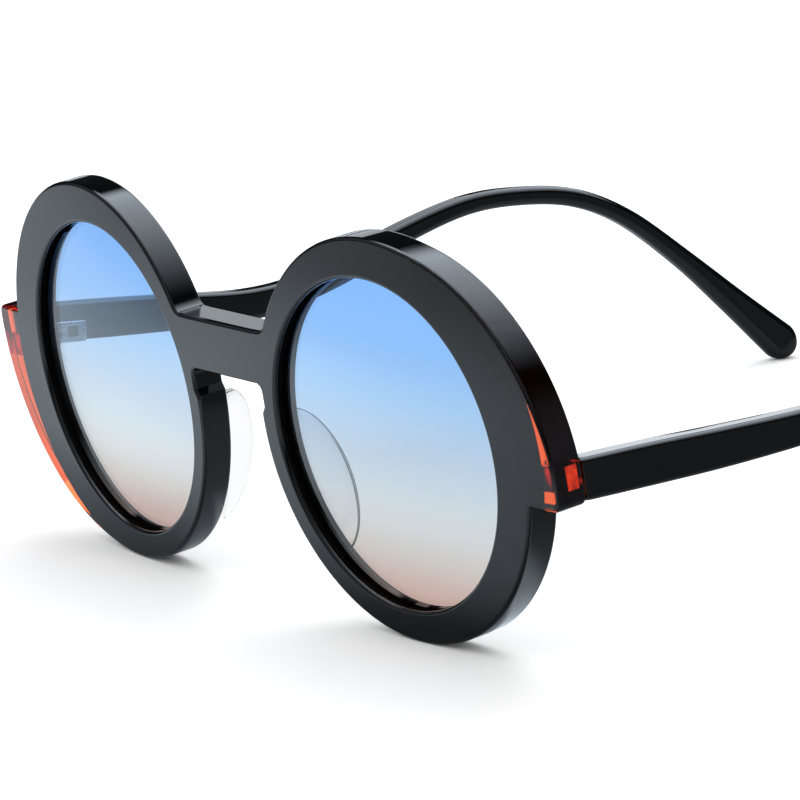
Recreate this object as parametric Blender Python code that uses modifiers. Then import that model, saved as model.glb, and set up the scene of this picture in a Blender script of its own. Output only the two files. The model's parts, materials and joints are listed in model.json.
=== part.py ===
"""Round sunglasses with thick acetate rims, translucent side wings and folding temples.

Units are metres, +Z is up and the glasses stand open on their rims and temple tips, facing -Y.
The front is modelled upright in its own frame: x to the right, y back from the rims' front face,
z up from the lens centres. An empty named stand leans it forward and sets it on the ground.
Left is -X and right is +X, as seen from the front. Each side is made by the same functions:
side is -1 or +1, and hand is +1 where the wing points up and -1 where it points down.
"""

import math

import bmesh
import bpy
from mathutils import Matrix, Vector

# Front sheet
RIM_RADIUS = 0.0300
FRONT_THICKNESS = 0.0051
RIM_GAP = 0.0173
EDGE_ROUND = 0.0006
FACE_FORM_ANGLE = math.radians(4.0)
PANTOSCOPIC_TILT = math.radians(4.5)
ARC_STEP = math.radians(5.0)

# Apertures, lenses and their grooves
RIM_WIDTH = 0.00542
APERTURE_INSET = 0.0018
APERTURE_DROP = 0.0008
LENS_BITE = 0.0007
LENS_THICKNESS = 0.0019
LENS_SETBACK = 0.0015
LENS_CURVE_RADIUS = 0.230
LENS_FIT_GAP = 0.0002
LENS_PROFILE_STEPS = 4

# Bridge, and the notches cut into both rims just under it
BRIDGE_TOP = 0.0134
BRIDGE_BOTTOM = 0.0050
BRIDGE_FILLET = 0.0020
NOTCH_DEPTH = 0.0007
NOTCH_FILLET = 0.0012
NOTCH_FLOOR = 0.0017
NOTCH_LIP = 0.0007
FILLET_STEPS = 5

# Side wings
WING_BULGE = 0.0023
WING_SHIFT_OUT = 0.0035
WING_SHIFT_DOWN = 0.0032
WING_END_DROP = 0.0057
WING_CORNER = 0.0012
WING_TIP_ANGLE = math.radians(68.0)
LAMINATE_SEAM = 0.00005

# Nose pads
PAD_LENGTH = 0.0265
PAD_DEPTH = 0.0064
PAD_THICKNESS = 0.0036
PAD_RING_ANGLE = math.radians(24.0)
PAD_INSET = 0.0021
PAD_SLOPE = math.radians(24.0)
PAD_SPLAY = math.radians(16.0)
PAD_GLUE_GAP = 0.0002
PAD_SEGMENTS = 24
PAD_RINGS = 16

# Hinges
BARREL_RADIUS = 0.0013
BARREL_SIDE_GAP = 0.0001
BARREL_BACK_GAP = 0.00045
BARREL_COUNT = 5
BARREL_GAP = 0.0001
HINGE_HEIGHT = 0.0034
HINGE_DROP = 0.0012
HINGE_OFFSET = 0.0008
PIN_RADIUS = 0.0006
PIN_CLEARANCE = 0.00008
NECK_WIDTH = 0.0015
ANCHOR_DEPTH = 0.0024
ANCHOR_OVERHANG = 0.0008
ANCHOR_END_INSET = 0.0006
ANCHOR_SINK = 0.00015
ANCHOR_LIP = 0.0003
HINGE_FIT_GAP = 0.00015
LEAF_LENGTH = 0.0054
LEAF_THICKNESS = 0.0012
LEAF_SINK = 0.0005
LEAF_WINDOW = 0.0018
LEAF_WINDOW_PLACE_SHARE = 0.55
LEAF_NECK_SHARE = 0.25
LEAF_CORNER = 0.0004
SCREW_HEAD_RADIUS = 0.0010
SCREW_HEAD_HEIGHT = 0.0006
SCREW_SLOT_WIDTH = 0.0003
SCREW_SLOT_DEPTH = 0.0003
ROUND_SEGMENTS = 24

# Temples
TEMPLE_THICKNESS = 0.0040
TEMPLE_INSET = 0.00045
TEMPLE_HEIGHT = 0.0062
TEMPLE_REACH = 0.1384
TEMPLE_END_GAP = 0.0003
TEMPLE_EDGE_ROUND = 0.0012
TEMPLE_OFFSET = 0.0020
TIP_RADIUS = 0.0033
BEND_START_SHARE = 0.5556
BEND_INWARD = 0.0100
TEMPLE_STEPS = 3
TIP_STEPS = 6
WIRE_RADIUS = 0.0007
WIRE_CLEARANCE = 0.0002
WIRE_SETBACK = 0.0006
WIRE_REACH_SHARE = 0.68

# Each station along a temple: how far back it lies, as a share of the reach from the hinge end to
# the tip's centre, how far down, as a share of the tip's drop, how tall the temple is there, as a
# share of its height at the hinge, and how much of the hinge end's offset it keeps.
TEMPLE_STATION_SHARES = (
    (0.000, 0.011, 0.990, 1.00),
    (0.094, 0.062, 0.990, 0.66),
    (0.180, 0.109, 0.940, 0.36),
    (0.276, 0.155, 0.840, 0.00),
    (0.351, 0.163, 0.760, 0.00),
    (0.427, 0.129, 0.690, 0.00),
    (0.503, 0.062, 0.600, 0.00),
    (0.603, 0.019, 0.535, 0.00),
    (0.684, 0.046, 0.510, 0.00),
    (0.760, 0.122, 0.515, 0.00),
    (0.825, 0.272, 0.500, 0.00),
    (0.891, 0.519, 0.570, 0.00),
    (0.951, 0.781, 0.800, 0.00),
    (1.000, 1.000, 1.065, 0.00),
)

# Cutters run past what they cut by this much, and points closer than the weld are one point.
OVERRUN = 0.0010
WELD_DISTANCE = 0.000004

# Worked out from the sizes above
INNER_EDGE = RIM_GAP / 2
HALF_SPACING = INNER_EDGE + RIM_RADIUS
FORM_SLOPE = math.tan(FACE_FORM_ANGLE)
APERTURE_RADIUS = RIM_RADIUS - RIM_WIDTH
LENS_RADIUS = APERTURE_RADIUS + LENS_BITE
WING_RADIUS = RIM_RADIUS + WING_BULGE
PAD_RING_RADIUS = RIM_RADIUS - PAD_INSET
TEMPLE_OUTER = HALF_SPACING + WING_SHIFT_OUT + WING_RADIUS - TEMPLE_INSET
TEMPLE_INNER = TEMPLE_OUTER - TEMPLE_THICKNESS
PIVOT_REACH = TEMPLE_INNER - BARREL_SIDE_GAP - BARREL_RADIUS
ANCHOR_INNER = PIVOT_REACH - ANCHOR_OVERHANG
ANCHOR_OUTER = TEMPLE_OUTER - ANCHOR_END_INSET
BEND_START = TEMPLE_REACH * BEND_START_SHARE
SIDES = {"left": -1, "right": 1}


def front_setback(x):
    """How far back of the lens centres the front face lies at x: flat across the bridge."""
    return (max(abs(x), INNER_EDGE) - HALF_SPACING) * FORM_SLOPE


def rear_face(x):
    """The y of the front's rear face at x."""
    return front_setback(x) + FRONT_THICKNESS


PIVOT_BACK = rear_face(PIVOT_REACH) + BARREL_BACK_GAP + BARREL_RADIUS
TEMPLE_END = rear_face(TEMPLE_OUTER) + TEMPLE_END_GAP
TIP_DROP = RIM_RADIUS + (TEMPLE_END + TEMPLE_REACH) * math.tan(PANTOSCOPIC_TILT) - TIP_RADIUS


def clear_scene():
    """Remove every object, so that the script can be run again."""
    for item in list(bpy.data.objects):
        bpy.data.objects.remove(item, do_unlink=True)


def make_collection(name):
    """A new collection in the scene."""
    group = bpy.data.collections.new(name)
    bpy.context.scene.collection.children.link(group)
    return group


def make_material(name, colour, roughness, metallic=0.0):
    """A Principled material of one colour."""
    material = bpy.data.materials.new(name)
    material.use_nodes = True
    shader = material.node_tree.nodes["Principled BSDF"]
    shader.inputs["Base Color"].default_value = (*colour, 1.0)
    shader.inputs["Roughness"].default_value = roughness
    shader.inputs["Metallic"].default_value = metallic
    return material


def add_empty(name, parent=None, location=(0.0, 0.0, 0.0)):
    """An empty that carries other objects."""
    empty = bpy.data.objects.new(name, None)
    PART.objects.link(empty)
    empty.parent = parent
    empty.location = location
    return empty


def move_to(item, group):
    """Put an object in one collection only."""
    for owner in list(item.users_collection):
        owner.objects.unlink(item)
    group.objects.link(item)


def bake(item, matrix):
    """Put a transform into an object's mesh and leave the object at the origin."""
    item.data.transform(matrix)
    item.matrix_world = Matrix.Identity(4)
    item.data.update()


def box(name, low, high, group):
    """A box between two corners, with its place in its mesh."""
    size = [b - a for a, b in zip(low, high)]
    centre = [(a + b) / 2 for a, b in zip(low, high)]
    bpy.ops.mesh.primitive_cube_add(size=1.0)
    item = bpy.context.object
    item.name = name
    move_to(item, group)
    bake(item, Matrix.Translation(centre) @ Matrix.Diagonal((*size, 1.0)))
    return item


def cylinder(name, radius, low, high, group, axis="Z", segments=ROUND_SEGMENTS):
    """A cylinder from one point to another, both on a line along Z or Y."""
    depth = (Vector(high) - Vector(low)).length
    bpy.ops.mesh.primitive_cylinder_add(vertices=segments, radius=radius, depth=depth)
    item = bpy.context.object
    item.name = name
    move_to(item, group)
    turn = Matrix.Rotation(-math.pi / 2, 4, "X") if axis == "Y" else Matrix.Identity(4)
    bake(item, Matrix.Translation((Vector(low) + Vector(high)) / 2) @ turn)
    return item


def modify(item, kind, **settings):
    """Add a modifier to an object and apply it."""
    modifier = item.modifiers.new(kind.title(), kind)
    for key, value in settings.items():
        setattr(modifier, key, value)
    graph = bpy.context.evaluated_depsgraph_get()
    mesh = bpy.data.meshes.new_from_object(item.evaluated_get(graph))
    item.modifiers.clear()
    old = item.data
    item.data = mesh
    bpy.data.meshes.remove(old)
    return item


def combine(item, other, operation):
    """A Boolean of two objects."""
    return modify(item, "BOOLEAN", object=other, operation=operation, solver="EXACT")


def cut(item, cutters):
    """Take each cutter out of an object."""
    for cutter in cutters:
        combine(item, cutter, "DIFFERENCE")
    return item


def join_all(name, pieces, group):
    """The Boolean union of several solids as one object."""
    body = pieces[0]
    for piece in pieces[1:]:
        combine(body, piece, "UNION")
        bpy.data.objects.remove(piece, do_unlink=True)
    body.name = name
    move_to(body, group)
    return body


def mesh_from_curve(name, curve, group):
    """Turn curve data into a closed mesh object."""
    source = bpy.data.objects.new(name, curve)
    bpy.context.scene.collection.objects.link(source)
    graph = bpy.context.evaluated_depsgraph_get()
    mesh = bpy.data.meshes.new_from_object(source.evaluated_get(graph))
    bpy.data.objects.remove(source, do_unlink=True)
    bpy.data.curves.remove(curve)
    body = bmesh.new()
    body.from_mesh(mesh)
    bmesh.ops.remove_doubles(body, verts=body.verts, dist=WELD_DISTANCE)
    bmesh.ops.recalc_face_normals(body, faces=body.faces)
    body.to_mesh(mesh)
    body.free()
    item = bpy.data.objects.new(name, mesh)
    group.objects.link(item)
    return item


def sheet(name, outlines, thickness, edge, group):
    """Cut flat outlines of (x, z) points from a sheet whose front face lies at y = 0."""
    curve = bpy.data.curves.new(name, "CURVE")
    curve.dimensions = "2D"
    curve.fill_mode = "BOTH"
    curve.bevel_depth = edge
    curve.bevel_resolution = 1
    curve.offset = -edge
    curve.extrude = thickness / 2 - edge
    for points in outlines:
        spline = curve.splines.new("POLY")
        spline.points.add(len(points) - 1)
        for point, (x, z) in zip(spline.points, points):
            point.co = (x, z, 0.0, 1.0)
        spline.use_cyclic_u = True
    item = mesh_from_curve(name, curve, group)
    upright = Matrix.Rotation(math.pi / 2, 4, "X")
    bake(item, Matrix.Translation((0.0, thickness / 2, 0.0)) @ upright)
    return item


def tube(name, points, radius, group):
    """A round bar along a line of points."""
    curve = bpy.data.curves.new(name, "CURVE")
    curve.dimensions = "3D"
    curve.bevel_depth = radius
    curve.bevel_resolution = 1
    curve.use_fill_caps = True
    spline = curve.splines.new("POLY")
    spline.points.add(len(points) - 1)
    for point, place in zip(spline.points, points):
        point.co = (*place, 1.0)
    return mesh_from_curve(name, curve, group)


def turned(name, profile, group):
    """Turn a profile of (radius, height) points about Z, then lay its axis along Y, front first."""
    mesh = bpy.data.meshes.new(name)
    body = bmesh.new()
    points = [body.verts.new((radius, 0.0, height)) for radius, height in profile]
    for first, second in zip(points, points[1:]):
        body.edges.new((first, second))
    body.to_mesh(mesh)
    body.free()
    item = bpy.data.objects.new(name, mesh)
    group.objects.link(item)
    steps = round(math.tau / ARC_STEP)
    modify(
        item,
        "SCREW",
        steps=steps,
        render_steps=steps,
        use_merge_vertices=True,
        merge_threshold=WELD_DISTANCE,
    )
    body = bmesh.new()
    body.from_mesh(item.data)
    bmesh.ops.remove_doubles(body, verts=body.verts, dist=WELD_DISTANCE)
    bmesh.ops.recalc_face_normals(body, faces=body.faces)
    body.to_mesh(item.data)
    body.free()
    bake(item, Matrix.Rotation(math.pi / 2, 4, "X"))
    return item


def finish(item, name, material, parent, smooth=math.radians(35.0)):
    """Name an object, give it its material and its parent, and shade it."""
    item.name = name
    item.data.name = name
    item.data.materials.clear()
    item.data.materials.append(material)
    move_to(item, PART)
    item.parent = parent
    item.data.shade_smooth()
    item.data.set_sharp_from_angle(angle=smooth)
    return item


def arc(centre, radius, start, end, steps=0):
    """Points on an arc, both ends included."""
    count = steps or max(1, round(abs(end - start) / ARC_STEP))
    angles = [start + (end - start) * k / count for k in range(count + 1)]
    return [(centre[0] + radius * math.cos(a), centre[1] + radius * math.sin(a)) for a in angles]


def bridge_corner():
    """The corner arc from the bridge's top edge to the right rim, and the rim's angle where it ends."""
    centre_z = BRIDGE_TOP + BRIDGE_FILLET
    reach = RIM_RADIUS + BRIDGE_FILLET
    run = math.sqrt(reach**2 - centre_z**2)
    centre = (HALF_SPACING - run, centre_z)
    rim_angle = math.atan2(centre_z, -run)
    towards_rim = math.atan2(-centre_z, run)
    return arc(centre, BRIDGE_FILLET, -math.pi / 2, towards_rim, FILLET_STEPS), rim_angle


def nose_notch():
    """The notch from the bridge's bottom edge to the right rim, and the rim's angle where it ends."""
    wall = INNER_EDGE + NOTCH_DEPTH
    centre = (wall - NOTCH_FILLET, BRIDGE_BOTTOM - NOTCH_FILLET)
    corner = arc(centre, NOTCH_FILLET, math.pi / 2, 0.0, FILLET_STEPS)
    run = math.sqrt(RIM_RADIUS**2 - NOTCH_LIP**2)
    lip = (HALF_SPACING - run, NOTCH_LIP)
    return [*corner, (wall, NOTCH_FLOOR), lip], math.atan2(NOTCH_LIP, -run)


def wing_circle_points(hand):
    """The wing's outer arc and end corner, from the rim to its flat end, about the lens centre."""
    shift = Vector((WING_SHIFT_OUT, -WING_SHIFT_DOWN))
    away = (RIM_RADIUS**2 + shift.length_squared - WING_RADIUS**2) / (2 * RIM_RADIUS * shift.length)
    meets = math.atan2(shift.y, shift.x) + math.acos(away)
    rim_point = Vector((RIM_RADIUS * math.cos(meets), RIM_RADIUS * math.sin(meets)))
    start = math.atan2(rim_point.y - shift.y, rim_point.x - shift.x)
    level = WING_CORNER - WING_END_DROP
    across = math.sqrt((WING_RADIUS - WING_CORNER) ** 2 - (level - shift.y) ** 2)
    turn = math.atan2(level - shift.y, across)
    corner = arc((shift.x + across, level), WING_CORNER, turn, -math.pi / 2, FILLET_STEPS)
    points = arc(shift, WING_RADIUS, start, turn) + corner[1:]
    return [(x, z * hand) for x, z in points], meets * hand


def half_outline(hand):
    """The right half of the front's outline, clockwise from the bridge's top to its bottom."""
    top, top_angle = bridge_corner()
    bottom, bottom_angle = nose_notch()
    wing, meets = wing_circle_points(hand)
    end_angle = -hand * math.asin(WING_END_DROP / RIM_RADIUS)
    if hand > 0:
        before, after = meets, end_angle
    else:
        before, after = end_angle, meets
        wing = wing[::-1]
    rim_top = arc((0.0, 0.0), RIM_RADIUS, top_angle, before)
    rim_bottom = arc((0.0, 0.0), RIM_RADIUS, after, bottom_angle - math.tau * (bottom_angle > 0))
    eye = rim_top[1:-1] + ([rim_top[-1]] if hand < 0 else []) + wing
    eye += rim_bottom[:-1] if hand > 0 else rim_bottom[1:-1]
    placed = [(x + HALF_SPACING, z) for x, z in eye]
    return top + placed + bottom[::-1]


def front_outline():
    """The whole front: the right half, and the left half with its wing turned upside down."""
    right = half_outline(1)
    left = [(-x, z) for x, z in half_outline(-1)][::-1]
    return right + left


def bend_front(item):
    """Lean both rims back from the flat bridge."""
    body = bmesh.new()
    body.from_mesh(item.data)
    for side in SIDES.values():
        everything = body.verts[:] + body.edges[:] + body.faces[:]
        place = (side * INNER_EDGE, 0.0, 0.0)
        bmesh.ops.bisect_plane(body, geom=everything, plane_co=place, plane_no=(1.0, 0.0, 0.0))
    for vertex in body.verts:
        vertex.co.y += front_setback(vertex.co.x)
    body.to_mesh(item.data)
    body.free()


def eye_matrix(side):
    """From a rim's own frame to the front's frame."""
    turn = Matrix.Rotation(side * FACE_FORM_ANGLE, 4, "Z")
    return Matrix.Translation((side * HALF_SPACING, 0.0, 0.0)) @ turn


def wing_region(name, side, hand, seam):
    """The space outside a rim's circle where its wing lies, as a solid in the front's frame."""
    low_x = RIM_RADIUS * math.cos(WING_TIP_ANGLE) + (seam if seam > 0 else 0.0)
    high_x = WING_SHIFT_OUT + WING_RADIUS + OVERRUN
    end = -WING_END_DROP - (OVERRUN if seam > 0 else LAMINATE_SEAM)
    levels = sorted((hand * end, hand * RIM_RADIUS))
    spread = sorted((side * low_x, side * high_x))
    deep = FRONT_THICKNESS + 4 * OVERRUN
    region = box(name, (spread[0], -4 * OVERRUN, levels[0]), (spread[1], deep, levels[1]), CUTTERS)
    steps = round(math.tau / ARC_STEP)
    core = cylinder(
        name + "_core",
        RIM_RADIUS + seam,
        (0.0, -5 * OVERRUN, 0.0),
        (0.0, deep + OVERRUN, 0.0),
        CUTTERS,
        axis="Y",
        segments=steps,
    )
    combine(region, core, "DIFFERENCE")
    bpy.data.objects.remove(core, do_unlink=True)
    bake(region, Matrix.Translation((side * HALF_SPACING, 0.0, 0.0)))
    return region


def hinge_level(hand):
    """The height of a hinge's middle."""
    return -HINGE_DROP - hand * HINGE_OFFSET


def anchor_box(name, side, hand, gap, group, behind):
    """The block of a front hinge leaf inside the front, or with a gap the pocket that takes it."""
    spread = sorted((side * (ANCHOR_INNER - gap), side * (ANCHOR_OUTER + gap)))
    face = rear_face(PIVOT_REACH)
    half = HINGE_HEIGHT / 2 + ANCHOR_LIP + gap
    level = hinge_level(hand)
    low = (spread[0], face - ANCHOR_DEPTH - gap, level - half)
    high = (spread[1], face + behind, level + half)
    return box(name, low, high, group)


def make_front(materials, stand):
    """The rims and bridge, and the two wings laminated to them."""
    apertures = []
    for side in SIDES.values():
        centre = (side * (HALF_SPACING - APERTURE_INSET), -APERTURE_DROP)
        apertures.append(arc(centre, APERTURE_RADIUS, 0.0, math.tau)[:-1])
    blank = sheet("front_blank", [front_outline(), *apertures], FRONT_THICKNESS, EDGE_ROUND, CUTTERS)
    bend_front(blank)
    frame = blank.copy()
    frame.data = blank.data.copy()
    PART.objects.link(frame)
    for name, side in SIDES.items():
        hand = side
        groove = cylinder(
            name + "_groove",
            LENS_RADIUS + LENS_FIT_GAP,
            (0.0, LENS_SETBACK - LENS_FIT_GAP, 0.0),
            (0.0, LENS_SETBACK + LENS_THICKNESS + LENS_FIT_GAP, 0.0),
            CUTTERS,
            axis="Y",
            segments=round(math.tau / ARC_STEP),
        )
        inset = Matrix.Translation((-side * APERTURE_INSET, 0.0, -APERTURE_DROP))
        bake(groove, eye_matrix(side) @ inset)
        pocket = anchor_box(name + "_pocket", side, hand, HINGE_FIT_GAP, CUTTERS, OVERRUN)
        outside = wing_region(name + "_wing_cut", side, hand, -LAMINATE_SEAM)
        cut(frame, (groove, outside, pocket))
        wing = blank.copy()
        wing.data = blank.data.copy()
        PART.objects.link(wing)
        region = wing_region(name + "_wing_space", side, hand, LAMINATE_SEAM)
        combine(wing, region, "INTERSECT")
        cut(wing, (pocket,))
        finish(wing, name + "_crescent", materials["wing"], stand)
    bpy.data.objects.remove(blank, do_unlink=True)
    finish(frame, "front_frame", materials["black"], stand)


def make_lens(name, side, materials, stand):
    """A shallow curved lens whose rim sits in the groove."""
    edge_front = LENS_SETBACK
    edge_rear = LENS_SETBACK + LENS_THICKNESS
    sag_at_edge = LENS_CURVE_RADIUS - math.sqrt(LENS_CURVE_RADIUS**2 - APERTURE_RADIUS**2)
    front, rear = [], []
    for k in range(LENS_PROFILE_STEPS + 1):
        radius = APERTURE_RADIUS * k / LENS_PROFILE_STEPS
        sag = LENS_CURVE_RADIUS - math.sqrt(LENS_CURVE_RADIUS**2 - radius**2)
        front.append((radius, -(edge_front + sag - sag_at_edge)))
        rear.append((radius, -(edge_rear + sag - sag_at_edge)))
    rim = [(LENS_RADIUS, -edge_front), (LENS_RADIUS, -edge_rear)]
    lens = turned(name + "_lens", front + rim + rear[::-1], PART)
    inset = Matrix.Translation((-side * APERTURE_INSET, 0.0, -APERTURE_DROP))
    bake(lens, eye_matrix(side) @ inset)
    finish(lens, name + "_lens", materials["lens"], stand)


def make_pad(name, side, materials, stand):
    """A flattened half egg behind the rim's nose side."""
    bpy.ops.mesh.primitive_uv_sphere_add(segments=PAD_SEGMENTS, ring_count=PAD_RINGS, radius=1.0)
    pad = bpy.context.object
    shape = Matrix.Diagonal((PAD_THICKNESS / 2, PAD_DEPTH, PAD_LENGTH / 2, 1.0))
    splay = Matrix.Rotation(-side * PAD_SPLAY, 4, "Z")
    slope = Matrix.Rotation(-side * PAD_SLOPE, 4, "Y")
    centre = (
        -side * PAD_RING_RADIUS * math.cos(PAD_RING_ANGLE),
        FRONT_THICKNESS,
        -PAD_RING_RADIUS * math.sin(PAD_RING_ANGLE),
    )
    bake(pad, Matrix.Translation(centre) @ slope @ splay @ shape)
    seat = FRONT_THICKNESS + PAD_GLUE_GAP
    reach = PAD_LENGTH + PAD_DEPTH
    low = (centre[0] - reach, seat - reach, centre[2] - reach)
    high = (centre[0] + reach, seat, centre[2] + reach)
    front_half = box(name + "_pad_cut", low, high, CUTTERS)
    cut(pad, (front_half,))
    bake(pad, eye_matrix(side))
    finish(pad, name + "_nose_pad", materials["clear"], stand)


def barrel_levels(hand):
    """The bottom and top of each hinge barrel, lowest first."""
    height = (HINGE_HEIGHT - BARREL_GAP * (BARREL_COUNT - 1)) / BARREL_COUNT
    bottom = hinge_level(hand) - HINGE_HEIGHT / 2
    return [
        (bottom + k * (height + BARREL_GAP), bottom + k * (height + BARREL_GAP) + height)
        for k in range(BARREL_COUNT)
    ]


def pin_bore(name, side, hand):
    """The hole for the hinge screw through a leaf's barrels."""
    x = side * PIVOT_REACH
    half = HINGE_HEIGHT / 2 + OVERRUN
    level = hinge_level(hand)
    return cylinder(
        name,
        PIN_RADIUS + PIN_CLEARANCE,
        (x, PIVOT_BACK, level - half),
        (x, PIVOT_BACK, level + half),
        CUTTERS,
    )


def make_front_hinge(name, side, hand, materials, stand):
    """The leaf sunk in the front: an anchor block, and the first, third and fifth barrels."""
    pieces = [anchor_box(name + "_anchor", side, hand, 0.0, PART, -ANCHOR_SINK)]
    x = side * PIVOT_REACH
    for low, high in barrel_levels(hand)[::2]:
        barrel = cylinder("barrel", BARREL_RADIUS, (x, PIVOT_BACK, low), (x, PIVOT_BACK, high), PART)
        root = rear_face(PIVOT_REACH) - ANCHOR_DEPTH / 2
        neck_low = (x - NECK_WIDTH / 2, root, low)
        neck_high = (x + NECK_WIDTH / 2, PIVOT_BACK, high)
        pieces += [box("neck", neck_low, neck_high, PART), barrel]
    leaf = join_all(name + "_front_hinge", pieces, PART)
    cut(leaf, (pin_bore(name + "_front_bore", side, hand),))
    finish(leaf, name + "_front_hinge", materials["steel"], stand)


def leaf_start():
    """The y where a temple leaf's plate begins, clear of the barrels."""
    return PIVOT_BACK + BARREL_RADIUS + HINGE_FIT_GAP


def along_temple(item, hand):
    """Tilt a leaf, about the front of its plate, to follow its temple's hinge end."""
    front = Vector((0.0, leaf_start(), hinge_level(hand)))
    tilt = Matrix.Rotation(math.atan(hinge_end_slope(hand)), 4, "X")
    bake(item, Matrix.Translation(front) @ tilt @ Matrix.Translation(-front))
    return item


def leaf_box(name, side, hand, gap, group):
    """The temple leaf's plate, or with a gap the pocket that takes it."""
    outer_face = TEMPLE_INNER + LEAF_SINK + gap
    inner_face = TEMPLE_INNER + LEAF_SINK - LEAF_THICKNESS - gap
    start = leaf_start()
    half = HINGE_HEIGHT / 2 + gap
    level = hinge_level(hand)
    spread = sorted((side * inner_face, side * outer_face))
    low = (spread[0], start - gap, level - half)
    high = (spread[1], start + LEAF_LENGTH + gap, level + half)
    return along_temple(box(name, low, high, group), hand)


def make_temple_hinge(name, side, hand, materials, axis):
    """The leaf let into the temple: a windowed plate, and the second and fourth barrels."""
    plate = leaf_box(name + "_plate", side, hand, 0.0, PART)
    modify(plate, "BEVEL", width=LEAF_CORNER, segments=1, limit_method="ANGLE")
    pieces = [plate]
    x = side * PIVOT_REACH
    plate_face = TEMPLE_INNER + LEAF_SINK
    plate_middle = plate_face - LEAF_THICKNESS / 2
    start = leaf_start()
    for low, high in barrel_levels(hand)[1::2]:
        barrel = cylinder("barrel", BARREL_RADIUS, (x, PIVOT_BACK, low), (x, PIVOT_BACK, high), PART)
        spread = sorted((x, side * plate_middle))
        neck_low = (spread[0], PIVOT_BACK, low)
        neck_high = (spread[1], start + LEAF_LENGTH * LEAF_NECK_SHARE, high)
        pieces += [box("neck", neck_low, neck_high, PART), barrel]
    leaf = join_all(name + "_temple_hinge", pieces, PART)
    level = hinge_level(hand)
    middle = start + LEAF_LENGTH * LEAF_WINDOW_PLACE_SHARE
    spread = sorted((side * (plate_face - 2 * LEAF_THICKNESS), side * (plate_face + OVERRUN)))
    window = box(
        name + "_window",
        (spread[0], middle - LEAF_WINDOW / 2, level - LEAF_WINDOW / 2),
        (spread[1], middle + LEAF_WINDOW / 2, level + LEAF_WINDOW / 2),
        CUTTERS,
    )
    cut(leaf, (pin_bore(name + "_temple_bore", side, hand), along_temple(window, hand)))
    bake(leaf, Matrix.Translation(-axis.location))
    finish(leaf, name + "_temple_hinge", materials["steel"], axis)


def make_screw(name, side, hand, materials, stand):
    """The hinge screw: a plain pin with a slotted head on top."""
    x = side * PIVOT_REACH
    bottom = hinge_level(hand) - HINGE_HEIGHT / 2
    top = hinge_level(hand) + HINGE_HEIGHT / 2 + BARREL_GAP
    head_top = top + SCREW_HEAD_HEIGHT
    pin_top = (top + head_top) / 2
    pin = cylinder("pin", PIN_RADIUS, (x, PIVOT_BACK, bottom), (x, PIVOT_BACK, pin_top), PART)
    head = cylinder("head", SCREW_HEAD_RADIUS, (x, PIVOT_BACK, top), (x, PIVOT_BACK, head_top), PART)
    screw = join_all(name + "_hinge_screw", [pin, head], PART)
    slot = box(
        name + "_slot",
        (x - SCREW_SLOT_WIDTH / 2, PIVOT_BACK - SCREW_HEAD_RADIUS - OVERRUN, head_top - SCREW_SLOT_DEPTH),
        (x + SCREW_SLOT_WIDTH / 2, PIVOT_BACK + SCREW_HEAD_RADIUS + OVERRUN, head_top + OVERRUN),
        CUTTERS,
    )
    cut(screw, (slot,))
    finish(screw, name + "_hinge_screw", materials["steel"], stand)


def smooth_rows(rows, steps):
    """Rows of numbers with smooth values between them, by a Catmull-Rom spline."""
    result = []
    for k in range(len(rows) - 1):
        before = rows[max(k - 1, 0)]
        after = rows[min(k + 2, len(rows) - 1)]
        for step in range(steps):
            t = step / steps
            row = []
            for a, b, c, d in zip(before, rows[k], rows[k + 1], after):
                bend = 2 * a - 5 * b + 4 * c - d
                twist = 3 * b - a - 3 * c + d
                row.append((2 * b + (c - a) * t + bend * t**2 + twist * t**3) / 2)
            result.append(row)
    result.append(list(rows[-1]))
    return result


def temple_line(hand):
    """The temple's middle line: (y, z, height) from its hinge end to the middle of its tip."""
    rows = smooth_rows(TEMPLE_STATION_SHARES, TEMPLE_STEPS)
    return [
        (
            TEMPLE_END + back * TEMPLE_REACH,
            -down * TIP_DROP - hand * kept * TEMPLE_OFFSET,
            tall * TEMPLE_HEIGHT,
        )
        for back, down, tall, kept in rows
    ]


def temple_outline(hand):
    """The temple's side view as (y, z) points, with a round tip."""
    line = temple_line(hand)
    top, bottom = [], []
    last = len(line) - 1
    for k, (y, z, height) in enumerate(line):
        before, after = line[max(k - 1, 0)], line[min(k + 1, last)]
        along = Vector((after[0] - before[0], after[1] - before[1])).normalized()
        up = Vector((-along.y, along.x)) * height / 2
        if k == 0:
            up = Vector((0.0, height / 2))
        top.append((y + up.x, z + up.y))
        bottom.append((y - up.x, z - up.y))
    centre = (line[-1][0], line[-1][1])
    heading = math.atan2(along.y, along.x)
    round_tip = arc(centre, TIP_RADIUS, heading + math.pi / 2, heading - math.pi / 2, TIP_STEPS)
    return top[:-1] + round_tip + bottom[:-1][::-1]


def bend_inward(item, side):
    """Curve a temple, or its wire, towards the head behind the ear."""
    for vertex in item.data.vertices:
        past = max(0.0, vertex.co.y - TEMPLE_END - BEND_START) / (TEMPLE_REACH - BEND_START)
        vertex.co.x -= side * BEND_INWARD * past**2
    item.data.update()


def hinge_end_slope(hand):
    """How steeply a temple's middle line starts, as rise over run."""
    first, second = temple_line(hand)[:2]
    return (second[1] - first[1]) / (second[0] - first[0])


def wire_points(side, hand, extra):
    """The core wire's route inside a temple, from near its hinge end to the ear bend."""
    line = temple_line(hand)
    x = side * (TEMPLE_OUTER - TEMPLE_THICKNESS / 2)
    reach = TEMPLE_REACH * WIRE_REACH_SHARE
    points = [(x, y, z) for y, z, _ in line if TEMPLE_END < y <= TEMPLE_END + reach]
    start = WIRE_SETBACK - extra
    first = (x, TEMPLE_END + start, line[0][1] + hinge_end_slope(hand) * start)
    return [first, *points]


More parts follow.
